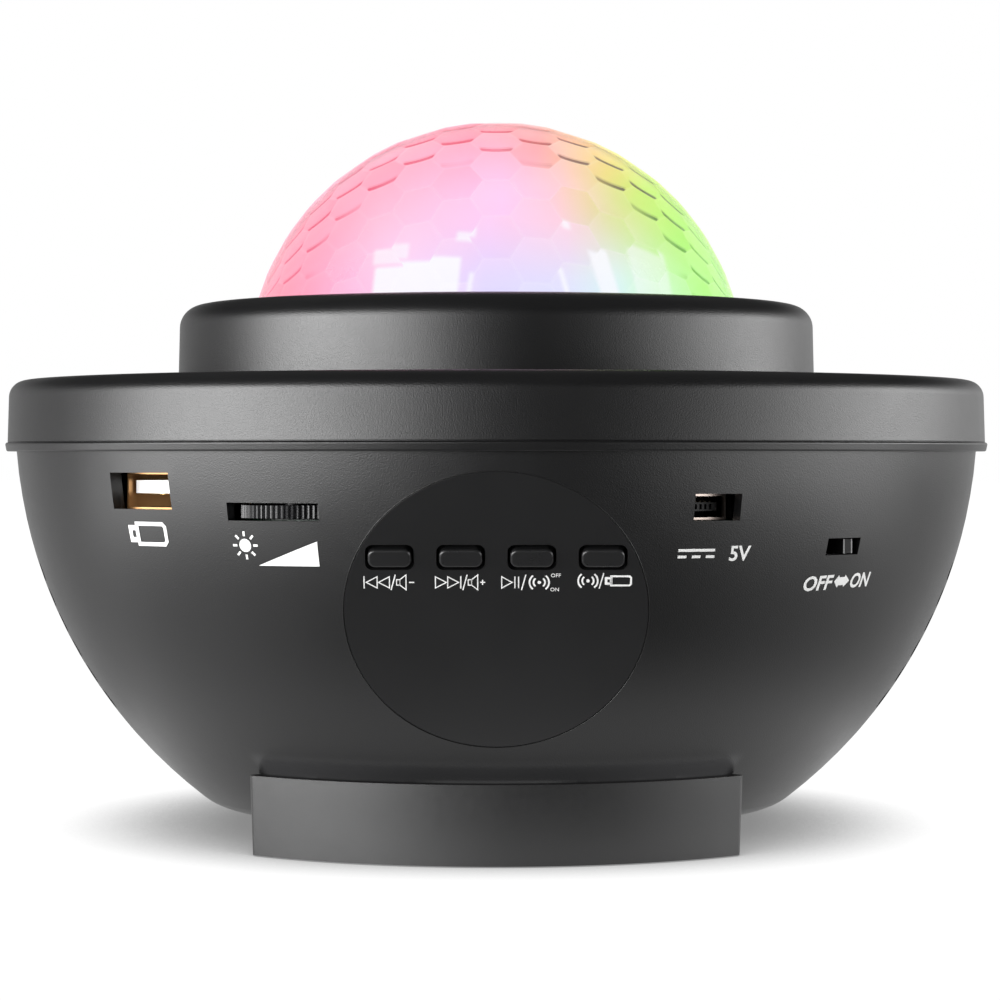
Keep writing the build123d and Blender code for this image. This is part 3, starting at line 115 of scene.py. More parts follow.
# Painted highlights on the dome, white patches where single facets catch a lamp: left, right,
# bottom and top as shares of its radius, how far they lean, and strength
PAINTED_LAMP_PATCHES = [
    (-0.49, -0.17, 0.10, 0.385, 0.10, 0.9),
    (-0.50, -0.37, 0.395, 0.454, 0.10, 0.6),
    (-0.22, -0.15, 0.447, 0.484, 0.15, 0.7),
    (0.35, 0.38, 0.502, 0.532, -0.20, 0.7),
    (0.47, 0.54, 0.10, 0.44, -0.30, 0.75),
    (0.58, 0.72, 0.10, 0.482, -0.20, 0.4),
    (-0.15, -0.135, 0.10, 0.33, 0.15, 0.8),
    (0.335, 0.352, 0.10, 0.345, -0.30, 0.8),
]
PATCH_FADE = 0.012

# Prints
PRINT_LIFT = 0.012 * MM
PRINT_THICKNESS = 0.03 * MM
PRINT_GRID = 0.9 * MM  # widest patch of a print that stays flat on the bowl
CAPITAL_SHARE = 0.72  # height of a capital letter as a share of the size of its type
MITRE_LIMIT = 0.35  # least cosine of half the bend where two lines meet, which keeps mitres short
MERGE_DISTANCE = 1e-7
SORT_AXIS = Vector((1.0, 2.71828, 31.41593))  # along which no two corners of a print are level

# Prints on the bowl: angle from the front towards +X and angle above the level of the bowl's
# middle, in degrees
STICK_PLACE = (-42.63, -13.41)
SUN_PLACE = (-28.08, -14.43)
WEDGE_PLACE = (-21.83, -15.70)
SUPPLY_PLACE = (24.42, -15.23)
SWITCH_PLACE = (42.71, -18.72)

# Drawn sizes of the prints, in millimetres
LINE = 0.175  # width of a printed line on the panel
THIN_LINE = LINE * 0.9
SUPPLY_LINE = 0.42
LETTER_HEIGHT = 2.35
SMALL_LETTER_HEIGHT = 0.62
SWITCH_RISE = 0.026  # the switch's mark climbs a little to the right
PANEL_ROW = 4.88  # height of the marks above the panel's middle

# Finishes
CASE_COLOUR = (0.0040, 0.0040, 0.0043)
CASE_ROUGHNESS = 0.32
CASE_GRAIN = 0.20 * MM
CASE_GRAIN_DEPTH = 0.028 * MM
STAND_COLOUR = (0.0050, 0.0050, 0.0053)
# Painted light on the bowl just above the stand's tops, which lifts the shade between bowl and stand
BOWL_PAINTED_LIGHT = (0.038, 0.038, 0.039, 1)  # light that the bowl shows just above the stand
BOWL_PAINTED_LIGHT_START = (-0.8 * MM, 0.3 * MM)  # heights over the stand's tops between which it comes
BOWL_PAINTED_LIGHT_END = (1.8 * MM, 4.2 * MM)  # and between which it goes
BOWL_PAINTED_LIGHT_FADE = 0.035  # how far before the ends of the stand's walls it fades, as a sine
BOWL_PAINTED_LIGHT_MIDDLE = 0.5  # its share in the middle of a wall

# Camera
CAMERA_PLACE = Vector((0.0, -0.511, 0.063))
CAMERA_FOCAL_PIXELS = 2950.0
IMAGE_PIXELS = 1000.0
SENSOR_WIDTH = 36.0
AXIS_PIXEL = (496.3, 455.0)  # where the camera's level axis meets the image

# Floor. Pairs say where a change starts and where it ends, in metres from the middle.
FLOOR_HALF = 6.0
FLOOR_SHADOW_REACH = 33 * MM
FLOOR_OPEN_SKY = (0.12, 0.76)  # share of open sky where the shadow is full, and where it is gone
FLOOR_UNDER_CASE = (0.068, 0.106)
FLOOR_FAR = (0.12, 0.42)
FLOOR_DARKEST = 0.25  # in full shadow, as the camera sees it
FLOOR_SPAN = 0.80  # from there to open floor
REFLECTED_AHEAD = 0.18  # what the object reflects of the floor in front of it
REFLECTED_BEHIND = 0.4  # and how much more of the floor behind it
REFLECTED_UNDER = 0.95

# Room. Pairs are heights as the sine of the angle above the horizon.
WALL_FOOT = (-0.10, 0.0)
WALL_TOP = (0.12, 0.42)
CEILING = (0.4, 0.8)
CEILING_LEVEL = 0.12
ROOM_LEVEL = 0.04

# Light walls round the object: angle from the front towards +X in degrees, and brightness
WALL_RADIANCE = 16.0
WALL_LIGHT = [
    (-180, 0.03), (-140, 0.025), (-116, 0.025), (-104, 0.05), (-94, 0.20), (-85, 0.62),
    (-76, 0.92), (-62, 1.0), (-46, 0.92), (-35, 0.72), (-25, 0.42), (-14, 0.15),
    (-5, 0.035), (5, 0.010), (24, 0.010), (38, 0.03), (50, 0.09), (62, 0.20),
    (76, 0.36), (90, 0.50), (104, 0.52), (116, 0.28), (132, 0.08), (155, 0.04), (180, 0.03),
]


# --------------------------------------------------------------------------
# Node trees written as expressions
# --------------------------------------------------------------------------


class Value:
    """One output socket. Sums, products and other steps on it add their nodes."""

    def __init__(self, tree, socket):
        self.tree = tree
        self.socket = socket

    def math(self, operation, *others):
        inputs = dict(enumerate((self,) + others))
        return add_node(self.tree, "ShaderNodeMath", {"operation": operation}, inputs)

    def __add__(self, other):
        return self.math("ADD", other)

    __radd__ = __add__

    def __sub__(self, other):
        return self.math("SUBTRACT", other)

    def __rsub__(self, other):
        return self * -1 + other

    def __mul__(self, other):
        return self.math("MULTIPLY", other)

    __rmul__ = __mul__

    def __truediv__(self, other):
        return self.math("DIVIDE", other)

    def smooth(self, low, high):
        """0 below low, 1 above high, and a smooth step between them."""
        settings = {"interpolation_type": "SMOOTHSTEP"}
        inputs = {"Value": self, "From Min": low, "From Max": high}
        return add_node(self.tree, "ShaderNodeMapRange", settings, inputs)


def add_node(tree, kind, settings=None, inputs=None, output=0):
    """Adds a node, applies its settings, fills its sockets and returns one of its outputs."""
    node = tree.nodes.new(kind)
    for name, setting in (settings or {}).items():
        if name == "stops":
            set_stops(node.color_ramp, setting)
        else:
            setattr(node, name, setting)
    for name, content in (inputs or {}).items():
        fill(tree, node.inputs[name], content)
    return Value(tree, node.outputs[output])


def fill(tree, socket, content):
    """Links a value to a socket, or sets the socket to a constant."""
    if isinstance(content, Value):
        tree.links.new(content.socket, socket)
    else:
        socket.default_value = content


def set_stops(ramp, stops):
    """Gives a colour ramp its stops, as pairs of place and colour."""
    while len(ramp.elements) > 1:
        ramp.elements.remove(ramp.elements[-1])
    for number, (place, colour) in enumerate(stops):
        element = ramp.elements[0] if number == 0 else ramp.elements.new(place)
        element.position = place
        element.color = (*colour, 1.0)


def linear(red, green, blue):
    """Colour for a shader from its values from 0 to 255 as a screen shows them."""

    def channel(value):
        share = value / 255
        return share / 12.92 if share <= 0.04045 else ((share + 0.055) / 1.055) ** 2.4

    return (channel(red), channel(green), channel(blue))


class Finish:
    """A material built round one Principled shader."""

    def __init__(self, name, **constants):
        self.material = bpy.data.materials.new(name)
        self.material.use_nodes = True
        self.tree = self.material.node_tree
        self.tree.nodes.clear()
        self.shader = self.tree.nodes.new("ShaderNodeBsdfPrincipled")
        self.out = self.tree.nodes.new("ShaderNodeOutputMaterial")
        self.tree.links.new(self.shader.outputs[0], self.out.inputs["Surface"])
        for socket, constant in constants.items():
            self.set(socket.replace("_", " "), constant)

    def set(self, socket, content):
        fill(self.tree, self.shader.inputs[socket], content)

    def node(self, kind, settings=None, inputs=None, output=0):
        return add_node(self.tree, kind, settings, inputs, output)

    def place(self):
        return self.node("ShaderNodeTexCoord", output="Object")

    def axes(self):
        """Object coordinates as three values."""
        split = self.tree.nodes.new("ShaderNodeSeparateXYZ")
        fill(self.tree, split.inputs[0], self.place())
        return [Value(self.tree, output) for output in split.outputs]

    def attribute(self, name, output="Fac"):
        return self.node("ShaderNodeAttribute", {"attribute_name": name}, output=output)

    def noise(self, size, detail=2.0, roughness=0.5, place=None):
        """Noise from 0 to 1 whose spots measure about size."""
        inputs = {"Scale": 1 / size, "Detail": detail, "Roughness": roughness}
        inputs["Vector"] = place or self.place()
        return self.node("ShaderNodeTexNoise", None, inputs)

    def mix(self, factor, first, second):
        """Colour between first, at 0, and second, at 1."""
        settings = {"data_type": "RGBA", "clamp_factor": True}
        inputs = {0: factor, 6: first, 7: second}
        return self.node("ShaderNodeMix", settings, inputs, output=2)

    def ramp(self, value, stops):
        return self.node("ShaderNodeValToRGB", {"stops": stops}, {"Fac": value})

    def bump(self, height, distance, strength=1.0):
        inputs = {"Height": height, "Distance": distance, "Strength": strength}
        self.set("Normal", self.node("ShaderNodeBump", None, inputs))


# --------------------------------------------------------------------------
# Finishes
# --------------------------------------------------------------------------


def shade(colour, factor):
    """Colour times a factor, as a shader's four numbers."""
    return tuple(channel * factor for channel in colour) + (1.0,)


def moulded(name, colour, roughness, grain=0.5 * MM, depth=0.02 * MM, spread=0.12, **constants):
    """Moulded plastic with a grain: fine bumps, and colour and gloss that drift a little."""
    return moulded_finish(name, colour, roughness, grain, depth, spread, **constants).material


def moulded_finish(name, colour, roughness, grain, depth, spread=0.12, **constants):
    """The same plastic as a Finish that can still be changed."""
    finish = Finish(name, **constants)
    drift = finish.noise(9 * MM, detail=3.0)
    speck = finish.noise(grain, detail=1.0)
    darker = shade(colour, 1 - spread)
    lighter = shade(colour, 1 + spread)
    finish.set("Base Color", finish.mix(drift, darker, lighter))
    finish.set("Roughness", roughness + (drift - 0.5) * 0.06 + (speck - 0.5) * 0.1)
    finish.bump(speck, depth)
    return finish


def bowl_plastic(name):
    """Case plastic of the bowl, with painted light just above the stand's tops to lift the shade
    there.
    """
    finish = moulded_finish(name, CASE_COLOUR, CASE_ROUGHNESS, CASE_GRAIN, CASE_GRAIN_DEPTH)
    x, y, z = finish.axes()
    height = z - STAND_TOP_Z
    low = height.smooth(*BOWL_PAINTED_LIGHT_START) * (1 - height.smooth(*BOWL_PAINTED_LIGHT_END))
    share = x.math("ABSOLUTE") / (x * x + y * y).math("SQRT")
    over = 1 - share.smooth(STAND_HALF_SHARE - BOWL_PAINTED_LIGHT_FADE, STAND_HALF_SHARE)
    sides = BOWL_PAINTED_LIGHT_MIDDLE + share.smooth(0.15, STAND_HALF_SHARE) * (1 - BOWL_PAINTED_LIGHT_MIDDLE)
    # Painted light: emission that lifts the shade on the bowl just above the stand
    finish.set("Emission Color", finish.mix(low * over * sides, (0, 0, 0, 1), BOWL_PAINTED_LIGHT))
    finish.set("Emission Strength", 1.0)
    return finish.material


def pressed_metal(name, colour, roughness, line=0.12 * MM, **constants):
    """Sheet or turned metal with fine drawn lines and small stains."""
    finish = Finish(name, Metallic=1.0, **constants)
    stretch = {"Vector": finish.place(), "Scale": (1, 1, 12)}
    stretched = finish.node("ShaderNodeMapping", None, stretch)
    lines = finish.noise(line, detail=2.0, place=stretched)
    stain = finish.noise(3 * MM, detail=3.0)
    finish.set("Base Color", finish.mix(stain, shade(colour, 0.8), shade(colour, 1.08)))
    finish.set("Roughness", roughness + (lines - 0.5) * 0.16)
    finish.bump(lines, 0.004 * MM)
    return finish.material


def circuit_board(name):
    """Green solder mask on a woven board, lighter over the copper tracks, kept nearly black as
    painted shade inside the case.
    """
    finish = Finish(name, Specular_IOR_Level=0.6)
    cells = {"feature": "F1", "distance": "MANHATTAN"}
    size = {"Vector": finish.place(), "Scale": 380.0}
    tracks = finish.node("ShaderNodeTexVoronoi", cells, size)
    weave = finish.noise(0.35 * MM, detail=1.0)
    copper = tracks.smooth(0.48, 0.52)
    # Painted shade: the mask colours are kept very dark, so the board reads black where it shows
    # under the thumbwheel
    mask = finish.mix(copper, (0.0015, 0.022, 0.009, 1), (0.003, 0.05, 0.018, 1))
    finish.set("Base Color", finish.mix(weave * 0.3, mask, (0.001, 0.012, 0.005, 1)))
    finish.set("Roughness", 0.28 + weave * 0.12)
    finish.bump(copper, 0.02 * MM)
    return finish.material


def make_finishes():
    """One material for each material slot of the record."""
    return {
        "case_black": moulded("case_black", CASE_COLOUR, CASE_ROUGHNESS, CASE_GRAIN,
                              CASE_GRAIN_DEPTH),
        "stand_black": moulded("stand_black", STAND_COLOUR, 0.36, 0.9 * MM, 0.006 * MM,
                               Specular_IOR_Level=0.8),
        "panel_black": moulded("panel_black", (0.006, 0.006, 0.0064), 0.42, 0.5 * MM, 0.004 * MM,
                               Specular_IOR_Level=0.45),
        "button_black": moulded("button_black", (0.010, 0.010, 0.0105), 0.3, 0.6 * MM, 0.003 * MM),
        "wheel_black": moulded("wheel_black", (0.012, 0.012, 0.013), 0.28, 0.6 * MM, 0.003 * MM),
        "pad_rubber": moulded("pad_rubber", (0.02, 0.02, 0.02), 0.8, 0.3 * MM, 0.02 * MM),
        "chassis_plastic": moulded("chassis_plastic", (0.03, 0.03, 0.032), 0.5),
        "lens_frosted": moulded("lens_frosted", (0.7, 0.72, 0.76), 0.12, 2.2 * MM, 0.25 * MM,
                                Transmission_Weight=0.7, IOR=1.49),
        "cup_white": moulded("cup_white", (0.78, 0.78, 0.77), 0.25, 0.8 * MM, 0.004 * MM),
        "gear_white": moulded("gear_white", (0.72, 0.72, 0.69), 0.42, 0.7 * MM, 0.008 * MM),
        "led_yellow": moulded("led_yellow", (0.8, 0.62, 0.12), 0.3, 0.5 * MM, 0.004 * MM),
        "laser_brass": pressed_metal("laser_brass", (0.72, 0.5, 0.2), 0.3),
        "screw_steel": pressed_metal("screw_steel", (0.5, 0.5, 0.51), 0.34),
        "motor_steel": pressed_metal("motor_steel", (0.55, 0.55, 0.54), 0.3),
        "board_green": circuit_board("board_green"),
        "chip_black": moulded("chip_black", (0.02, 0.02, 0.022), 0.5, 0.2 * MM, 0.01 * MM),
        "capacitor_sleeve": moulded("capacitor_sleeve", (0.015, 0.02, 0.05), 0.35),
        "connector_white": moulded("connector_white", (0.7, 0.69, 0.64), 0.4),
        "switch_body": moulded("switch_body", (0.02, 0.02, 0.021), 0.4),
        # Nickel plate tinted copper-brown, as a painted reflection of warm parts inside the sockets
        "shell_nickel": pressed_metal("shell_nickel", (0.62, 0.36, 0.17), 0.3),
        "plain_white": moulded("plain_white", (0.82, 0.82, 0.81), 0.4, 0.6 * MM, 0.004 * MM),
        "tongue_black": moulded("tongue_black", (0.014, 0.014, 0.014), 0.4),
        "contact_gold": pressed_metal("contact_gold", (0.83, 0.6, 0.25), 0.24),
        "speaker_frame": pressed_metal("speaker_frame", (0.05, 0.05, 0.052), 0.45),
        "magnet_dark": pressed_metal("magnet_dark", (0.09, 0.09, 0.095), 0.5),
        "surround_rubber": moulded("surround_rubber", (0.02, 0.02, 0.02), 0.7),
        "cone_paper": moulded("cone_paper", (0.03, 0.03, 0.03), 0.85, 0.4 * MM, 0.05 * MM),
        "dome_clear": clear_lens("dome_clear"),
    }


def socket_shell(name, azimuth, colour, shaded_share, fade):
    """Plated sheet with painted shade that darkens it behind the front edge of the socket's shell.
    """
    finish = Finish(name, Metallic=1.0)
    x, y = finish.axes()[:2]
    out = Vector((math.sin(azimuth), -math.cos(azimuth)))
    front = max(vertex.co.xy.dot(out) for vertex in nodes[name].data.vertices)
    depth = front - (x * out.x + y * out.y)
    stain = finish.noise(2 * MM, detail=3.0)
    bright = finish.mix(stain, shade(colour, 0.8), shade(colour, 1.1))
    # Painted shade deeper inside the socket
    painted_shade = shade(colour, shaded_share)
    finish.set("Base Color", finish.mix(depth.smooth(0.3 * MM, fade), bright, painted_shade))
    finish.set("Roughness", 0.26 + stain * 0.12)
    return finish.material


def lever_plastic(name):
    """Dull black with a painted highlight down each side, where the rounded edges catch the light.
    """
    finish = Finish(name, Roughness=0.5, Specular_IOR_Level=0.1)
    x, y = finish.axes()[:2]
    across = Vector((math.cos(LEVER_AZIMUTH), math.sin(LEVER_AZIMUTH)))
    spots = [vertex.co.xy for vertex in nodes[name].data.vertices]
    front = max(spot.length for spot in spots)
    spread = [spot.dot(across) for spot in spots if spot.length > front - 1.0 * MM]
    middle = (max(spread) + min(spread)) / 2
    half = (max(spread) - min(spread)) / 2
    aside = (x * across.x + y * across.y - middle).math("ABSOLUTE") / half
    speck = finish.noise(0.4 * MM)
    # Painted highlight: a light line along each side of the lever
    edge = aside.smooth(0.62, 0.78) * (1 - aside.smooth(0.92, 1.0)) * (0.8 + speck * 0.2)
    finish.set("Base Color", finish.mix(edge, (0.004, 0.004, 0.004, 1), (0.30, 0.30, 0.30, 1)))
    return finish.material


def clear_lens(name):
    """Clear moulded plastic: a polished face with faint flow waves."""
    finish = Finish(name, Transmission_Weight=1.0, IOR=CLEAR_IOR)
    wave = finish.noise(12 * MM, detail=1.0)
    finish.set("Base Color", finish.mix(wave, (0.97, 0.97, 0.98, 1), (1.0, 1.0, 1.0, 1)))
    finish.set("Roughness", 0.01 + wave * 0.02)
    finish.bump(wave, 0.05 * MM)
    facing = finish.node("ShaderNodeLayerWeight", None, {"Blend": 0.5}, output="Facing")
    finish.set("Alpha", 1 - facing.smooth(0.72, 0.92))
    return finish.material


# --------------------------------------------------------------------------
# Camera, world and floor
# --------------------------------------------------------------------------


def make_camera():
    """Level camera straight in front, with the image shifted to place the object in it."""
    data = bpy.data.cameras.new("camera")
    data.lens = CAMERA_FOCAL_PIXELS / IMAGE_PIXELS * SENSOR_WIDTH
    data.sensor_width = SENSOR_WIDTH
    data.shift_x = (IMAGE_PIXELS / 2 - AXIS_PIXEL[0]) / IMAGE_PIXELS
    data.shift_y = (AXIS_PIXEL[1] - IMAGE_PIXELS / 2) / IMAGE_PIXELS
    camera = bpy.data.objects.new("camera", data)
    camera.location = CAMERA_PLACE
    camera.rotation_euler = (math.pi / 2, 0, 0)
    bpy.context.scene.collection.objects.link(camera)
    bpy.context.scene.camera = camera


def make_world():
    """White for the camera, also through clear pieces. What the object reflects is a dark room with
    softly lit walls low round it.
    """
    world = bpy.data.worlds.new("studio")
    world.use_nodes = True
    bpy.context.scene.world = world
    tree = world.node_tree
    tree.nodes.clear()
    split = tree.nodes.new("ShaderNodeSeparateXYZ")
    fill(tree, split.inputs[0], add_node(tree, "ShaderNodeTexCoord", output="Generated"))
    x, y, z = (Value(tree, output) for output in split.outputs)
    turn = x.math("ARCTAN2", y * -1) / (2 * math.pi) + 0.5
    stops = [(0.5 + angle / 360, (level, level, level)) for angle, level in WALL_LIGHT]
    wall = add_node(tree, "ShaderNodeValToRGB", {"stops": stops}, {"Fac": turn})
    band = z.smooth(*WALL_FOOT) * (1 - z.smooth(*WALL_TOP))
    level = wall * band * WALL_RADIANCE + ROOM_LEVEL + z.smooth(*CEILING) * CEILING_LEVEL
    straight = add_node(tree, "ShaderNodeLightPath", output="Is Camera Ray")
    through = add_node(tree, "ShaderNodeLightPath", output="Is Transmission Ray")
    seen = straight.math("MAXIMUM", through)
    strength = level + seen * (1 - level)
    light = {"Color": (1, 1, 1, 1), "Strength": strength}
    background = add_node(tree, "ShaderNodeBackground", None, light)
    output = tree.nodes.new("ShaderNodeOutputWorld")
    fill(tree, output.inputs["Surface"], background)


def make_floor():
    """White paper, with a painted shadow where the object stands close over it. The object reflects
    less light from it than the camera sees, and least from what lies in front.
    """
    mesh = bpy.data.meshes.new("floor")
    signs = ((-1, -1), (1, -1), (1, 1), (-1, 1))
    corners = [(x * FLOOR_HALF, y * FLOOR_HALF, 0) for x, y in signs]
    mesh.from_pydata(corners, [], [(0, 1, 2, 3)])
    floor = bpy.data.objects.new("floor", mesh)
    bpy.context.scene.collection.objects.link(floor)
    finish = Finish("floor", Roughness=1.0, Specular_IOR_Level=0.0)
    finish.set("Base Color", (0, 0, 0, 1))
    near = {"Distance": FLOOR_SHADOW_REACH}
    open_sky = finish.node("ShaderNodeAmbientOcclusion", {"samples": 16}, near, output="AO")
    paper = finish.noise(60 * MM) * 0.01
    shadow = open_sky.smooth(*FLOOR_OPEN_SKY)
    x, y = finish.axes()[:2]
    reach = (x * x + y * y).math("SQRT")
    left = (x / reach * -1).smooth(0.15, 0.85)
    right = (x / reach).smooth(0.35, 1.0) * 0.62
    ahead = 1 - (y / reach).smooth(-0.15, 0.30)
    beyond = reach.smooth(*FLOOR_UNDER_CASE)
    far = reach.smooth(*FLOOR_FAR)
    aside = (left + right) * ahead * (0.7 + far * 4.7)
    around = REFLECTED_AHEAD + (1 - ahead) * REFLECTED_BEHIND + aside
    reflected = around * beyond + REFLECTED_UNDER * (1 - beyond)
    seen = finish.node("ShaderNodeLightPath", output="Is Camera Ray")
    # Painted shadow on the floor, from how much open sky each point has
    direct = shadow * FLOOR_SPAN + FLOOR_DARKEST + paper
    level = seen * direct + (1 - seen) * reflected * (shadow * 0.5 + 0.5)
    grey = finish.node("ShaderNodeCombineXYZ", None, {0: level, 1: level, 2: level})
    finish.set("Emission Color", grey)
    finish.set("Emission Strength", 1.0)
    mesh.materials.append(finish.material)


# --------------------------------------------------------------------------
# Meshes
# --------------------------------------------------------------------------


def add_piece(name, mesh, body, material):
    """Links a mesh as a piece of the body, with its material."""
    piece = bpy.data.objects.new(name, mesh)
    bpy.context.scene.collection.objects.link(piece)
    mesh.materials.clear()
    mesh.materials.append(material)
    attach(piece, body)
    return piece


def mesh_of(bm, name, smooth=False):
    """Turns the edited mesh into a mesh of the given name, with its faces outwards."""
    bmesh.ops.recalc_face_normals(bm, faces=bm.faces)
    for face in bm.faces:
        face.smooth = smooth
    mesh = bpy.data.meshes.new(name)
    bm.to_mesh(mesh)
    bm.free()
    return mesh


def revolved(name, profile, segments):
    """Closed mesh of revolution about the Z axis. The profile is a closed loop of (r, z)."""
    bm = bmesh.new()
    rings = []
    for radius, z in profile:
        if radius < MERGE_DISTANCE:
            rings.append([bm.verts.new((0, 0, z))])
            continue
        angles = [2 * math.pi * number / segments for number in range(segments)]
        spots = [(radius * math.cos(angle), radius * math.sin(angle), z) for angle in angles]
        rings.append([bm.verts.new(spot) for spot in spots])
    for first, second in zip(rings, rings[1:] + rings[:1]):
        for number in range(segments):
            after = (number + 1) % segments
            corners = [first[number % len(first)], first[after % len(first)]]
            corners += [second[after % len(second)], second[number % len(second)]]
            corners = list(dict.fromkeys(corners))
            if len(corners) > 2:
                bm.faces.new(corners)
    return mesh_of(bm, name, smooth=True)


def rounded(points, radii):
    """Polyline whose inner corners are arcs, with a short straight left at each arc's ends."""
    spots = [Vector(point) for point in points]
    path = [spots[0], spots[0] + (spots[1] - spots[0]).normalized() * ARC_GUARD]
    for before, corner, after, radius in zip(spots, spots[1:], spots[2:], radii):
        first = (before - corner).normalized()
        second = (after - corner).normalized()
        half = first.angle(second) / 2
        middle = corner + (first + second).normalized() * (radius / math.sin(half))
        start = corner + first * (radius / math.tan(half))
        end = corner + second * (radius / math.tan(half))
        path.append(start + first * ARC_GUARD)
        for step in range(ARC_STEPS + 1):
            aim = (start - middle).slerp(end - middle, step / ARC_STEPS).normalized()
            path.append(middle + aim * radius)
        path.append(end + second * ARC_GUARD)
    return path + [spots[-1] + (spots[-2] - spots[-1]).normalized() * ARC_GUARD, spots[-1]]


def make_lid_skin():
    """Even outer face of the lid and the collar."""
    corners = [
        (LID_RADIUS, SEAM_Z + SEAM_GAP),
        (LID_RADIUS - WALL_DRAFT, LID_TOP_Z),
        (COLLAR_RADIUS, LID_TOP_Z),
        (COLLAR_RADIUS - WALL_DRAFT, COLLAR_TOP_Z),
        (COLLAR_HOLE_RADIUS, COLLAR_TOP_Z),
    ]
    path = rounded(corners, [LID_ROUND, COLLAR_FOOT_ROUND, COLLAR_ROUND])
    outer = []
    inner = []
    for number, spot in enumerate(path):
        before = path[max(number - 1, 0)]
        after = path[min(number + 1, len(path) - 1)]
        along = (after - before).normalized()
        away = Vector((along.y, -along.x)) * SKIN_LIFT
        outer.append(tuple(spot + away))
        inner.append(tuple(spot - away))
    mesh = revolved("lid_skin", outer + inner[::-1], LID_SEGMENTS)
    add_piece("lid_skin", mesh, "root", finishes["case_black"])


# --------------------------------------------------------------------------
# Dome lens
# --------------------------------------------------------------------------


def dome_arc(radius, low_z):
    """Points (r, z) from the height low_z up to the top of a sphere about the dome's centre."""
    low = math.asin((low_z - DOME_CENTRE_Z) / radius)
    angles = [low + (math.pi / 2 - low) * step / DOME_STEPS for step in range(DOME_STEPS + 1)]
    return [(radius * math.cos(a), DOME_CENTRE_Z + radius * math.sin(a)) for a in angles]


def make_dome_skin():
    """Thin clear shell of the dome with the flange under the collar."""
    flange_top_z = FLANGE_BOTTOM_Z + FLANGE_THICKNESS
    outer = dome_arc(DOME_RADIUS, flange_top_z)
    inner = dome_arc(DOME_RADIUS - DOME_SKIN, FLANGE_BOTTOM_Z)
    flange = [(FLANGE_RADIUS, FLANGE_BOTTOM_Z), (FLANGE_RADIUS, flange_top_z)]
    mesh = revolved("dome_skin", flange + outer + inner[::-1], DOME_SEGMENTS)
    skin = add_piece("dome_skin", mesh, "root", clear_lens("dome_skin"))
    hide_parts("dome_lens")


def facet_tree(material):
    """Nodes that set flat hexagonal tiles side by side and lay them on the dome.

    Before they are laid, x and y are angles round the dome in radians and z is a depth.
    """
    tree = bpy.data.node_groups.new("facets", "GeometryNodeTree")
    face = tree.interface
    face.new_socket("Geometry", in_out="OUTPUT", socket_type="NodeSocketGeometry")
    for name in ("Columns", "Rows"):
        face.new_socket(name, in_out="INPUT", socket_type="NodeSocketInt")
    for name in ("Radius", "Thickness", "Sink"):
        face.new_socket(name, in_out="INPUT", socket_type="NodeSocketFloat")
    group_in = tree.nodes.new("NodeGroupInput")
    given = {output.name: Value(tree, output) for output in group_in.outputs if output.name}

    def node(kind, settings=None, inputs=None, output=0):
        return add_node(tree, kind, settings, inputs, output)

    def split(vector):
        parts = tree.nodes.new("ShaderNodeSeparateXYZ")
        fill(tree, parts.inputs[0], vector)
        return [Value(tree, output) for output in parts.outputs]

    def join(x, y, z):
        return node("ShaderNodeCombineXYZ", None, {0: x, 1: y, 2: z})

    def stored(geometry, name, kind, domain, value):
        settings = {"data_type": kind, "domain": domain}
        inputs = {"Geometry": geometry, "Name": name, "Value": value}
        return node("GeometryNodeStoreNamedAttribute", settings, inputs)

    # One tile of unit size: corners at x = 1 and -1, flats at y = +-0.5 sqrt(3)
    fan = {"fill_type": "TRIANGLE_FAN"}
    tile = node("GeometryNodeMeshCylinder", fan, {"Vertices": 6, "Radius": 1.0, "Depth": 1.0})
    tile = stored(tile, "tile", "FLOAT_VECTOR", "POINT", node("GeometryNodeInputPosition"))

    # Grid of places, with every second column half a row higher
    width = FACET_COLUMN_PITCH * (FACET_COLUMNS - 1)
    height = FACET_ROW_PITCH * (FACET_ROWS - 1)
    grid_inputs = {
        "Size X": width,
        "Size Y": height,
        "Vertices X": given["Columns"],
        "Vertices Y": given["Rows"],
    }
    grid = node("GeometryNodeMeshGrid", None, grid_inputs)
    x, y = split(node("GeometryNodeInputPosition"))[:2]
    column = (x / FACET_COLUMN_PITCH).math("ROUND")
    odd = column.math("ABSOLUTE").math("MODULO", 2.0)
    row_angle = y + (height / 2 + FACET_ROW_START) + odd * (FACET_ROW_PITCH / 2)
    moved = {"Geometry": grid, "Position": join(x, row_angle, 0.0)}
    places = node("GeometryNodeSetPosition", None, moved)
    scale = join(FACET_COLUMN_PITCH / 1.5, FACET_ROW_PITCH / math.sqrt(3), given["Thickness"])
    copies = {"Points": places, "Instance": tile, "Scale": scale}
    tiles = node("GeometryNodeInstanceOnPoints", None, copies)
    chance = node("FunctionNodeRandomValue", {"data_type": "FLOAT"}, None, output=1)
    tiles = stored(tiles, "chance", "FLOAT", "INSTANCE", chance)
    tiles = node("GeometryNodeRealizeInstances", None, {"Geometry": tiles})

    # Lay the tiles on the dome
    x, y, z = split(node("GeometryNodeInputPosition"))
    settings = {"data_type": "FLOAT_VECTOR"}
    local = node("GeometryNodeInputNamedAttribute", settings, {"Name": "tile"})
    tile_x, tile_y = split(local)[:2]
    reach = (tile_x * tile_x + tile_y * tile_y).math("SQRT")
    radius = given["Radius"] + z - given["Thickness"] / 2 - (1 - reach) * given["Sink"]
    aside = x.math("COSINE") * radius
    laid = join(x.math("SINE") * radius, aside * y.math("COSINE") * -1, aside * y.math("SINE"))
    raised = {0: laid, 1: (0, 0, DOME_CENTRE_Z)}
    laid = node("ShaderNodeVectorMath", {"operation": "ADD"}, raised)
    tiles = node("GeometryNodeSetPosition", None, {"Geometry": tiles, "Position": laid})
    tiles = node("GeometryNodeSetMaterial", None, {"Geometry": tiles, "Material": material})
    group_out = tree.nodes.new("NodeGroupOutput")
    fill(tree, group_out.inputs[0], tiles)
    return tree


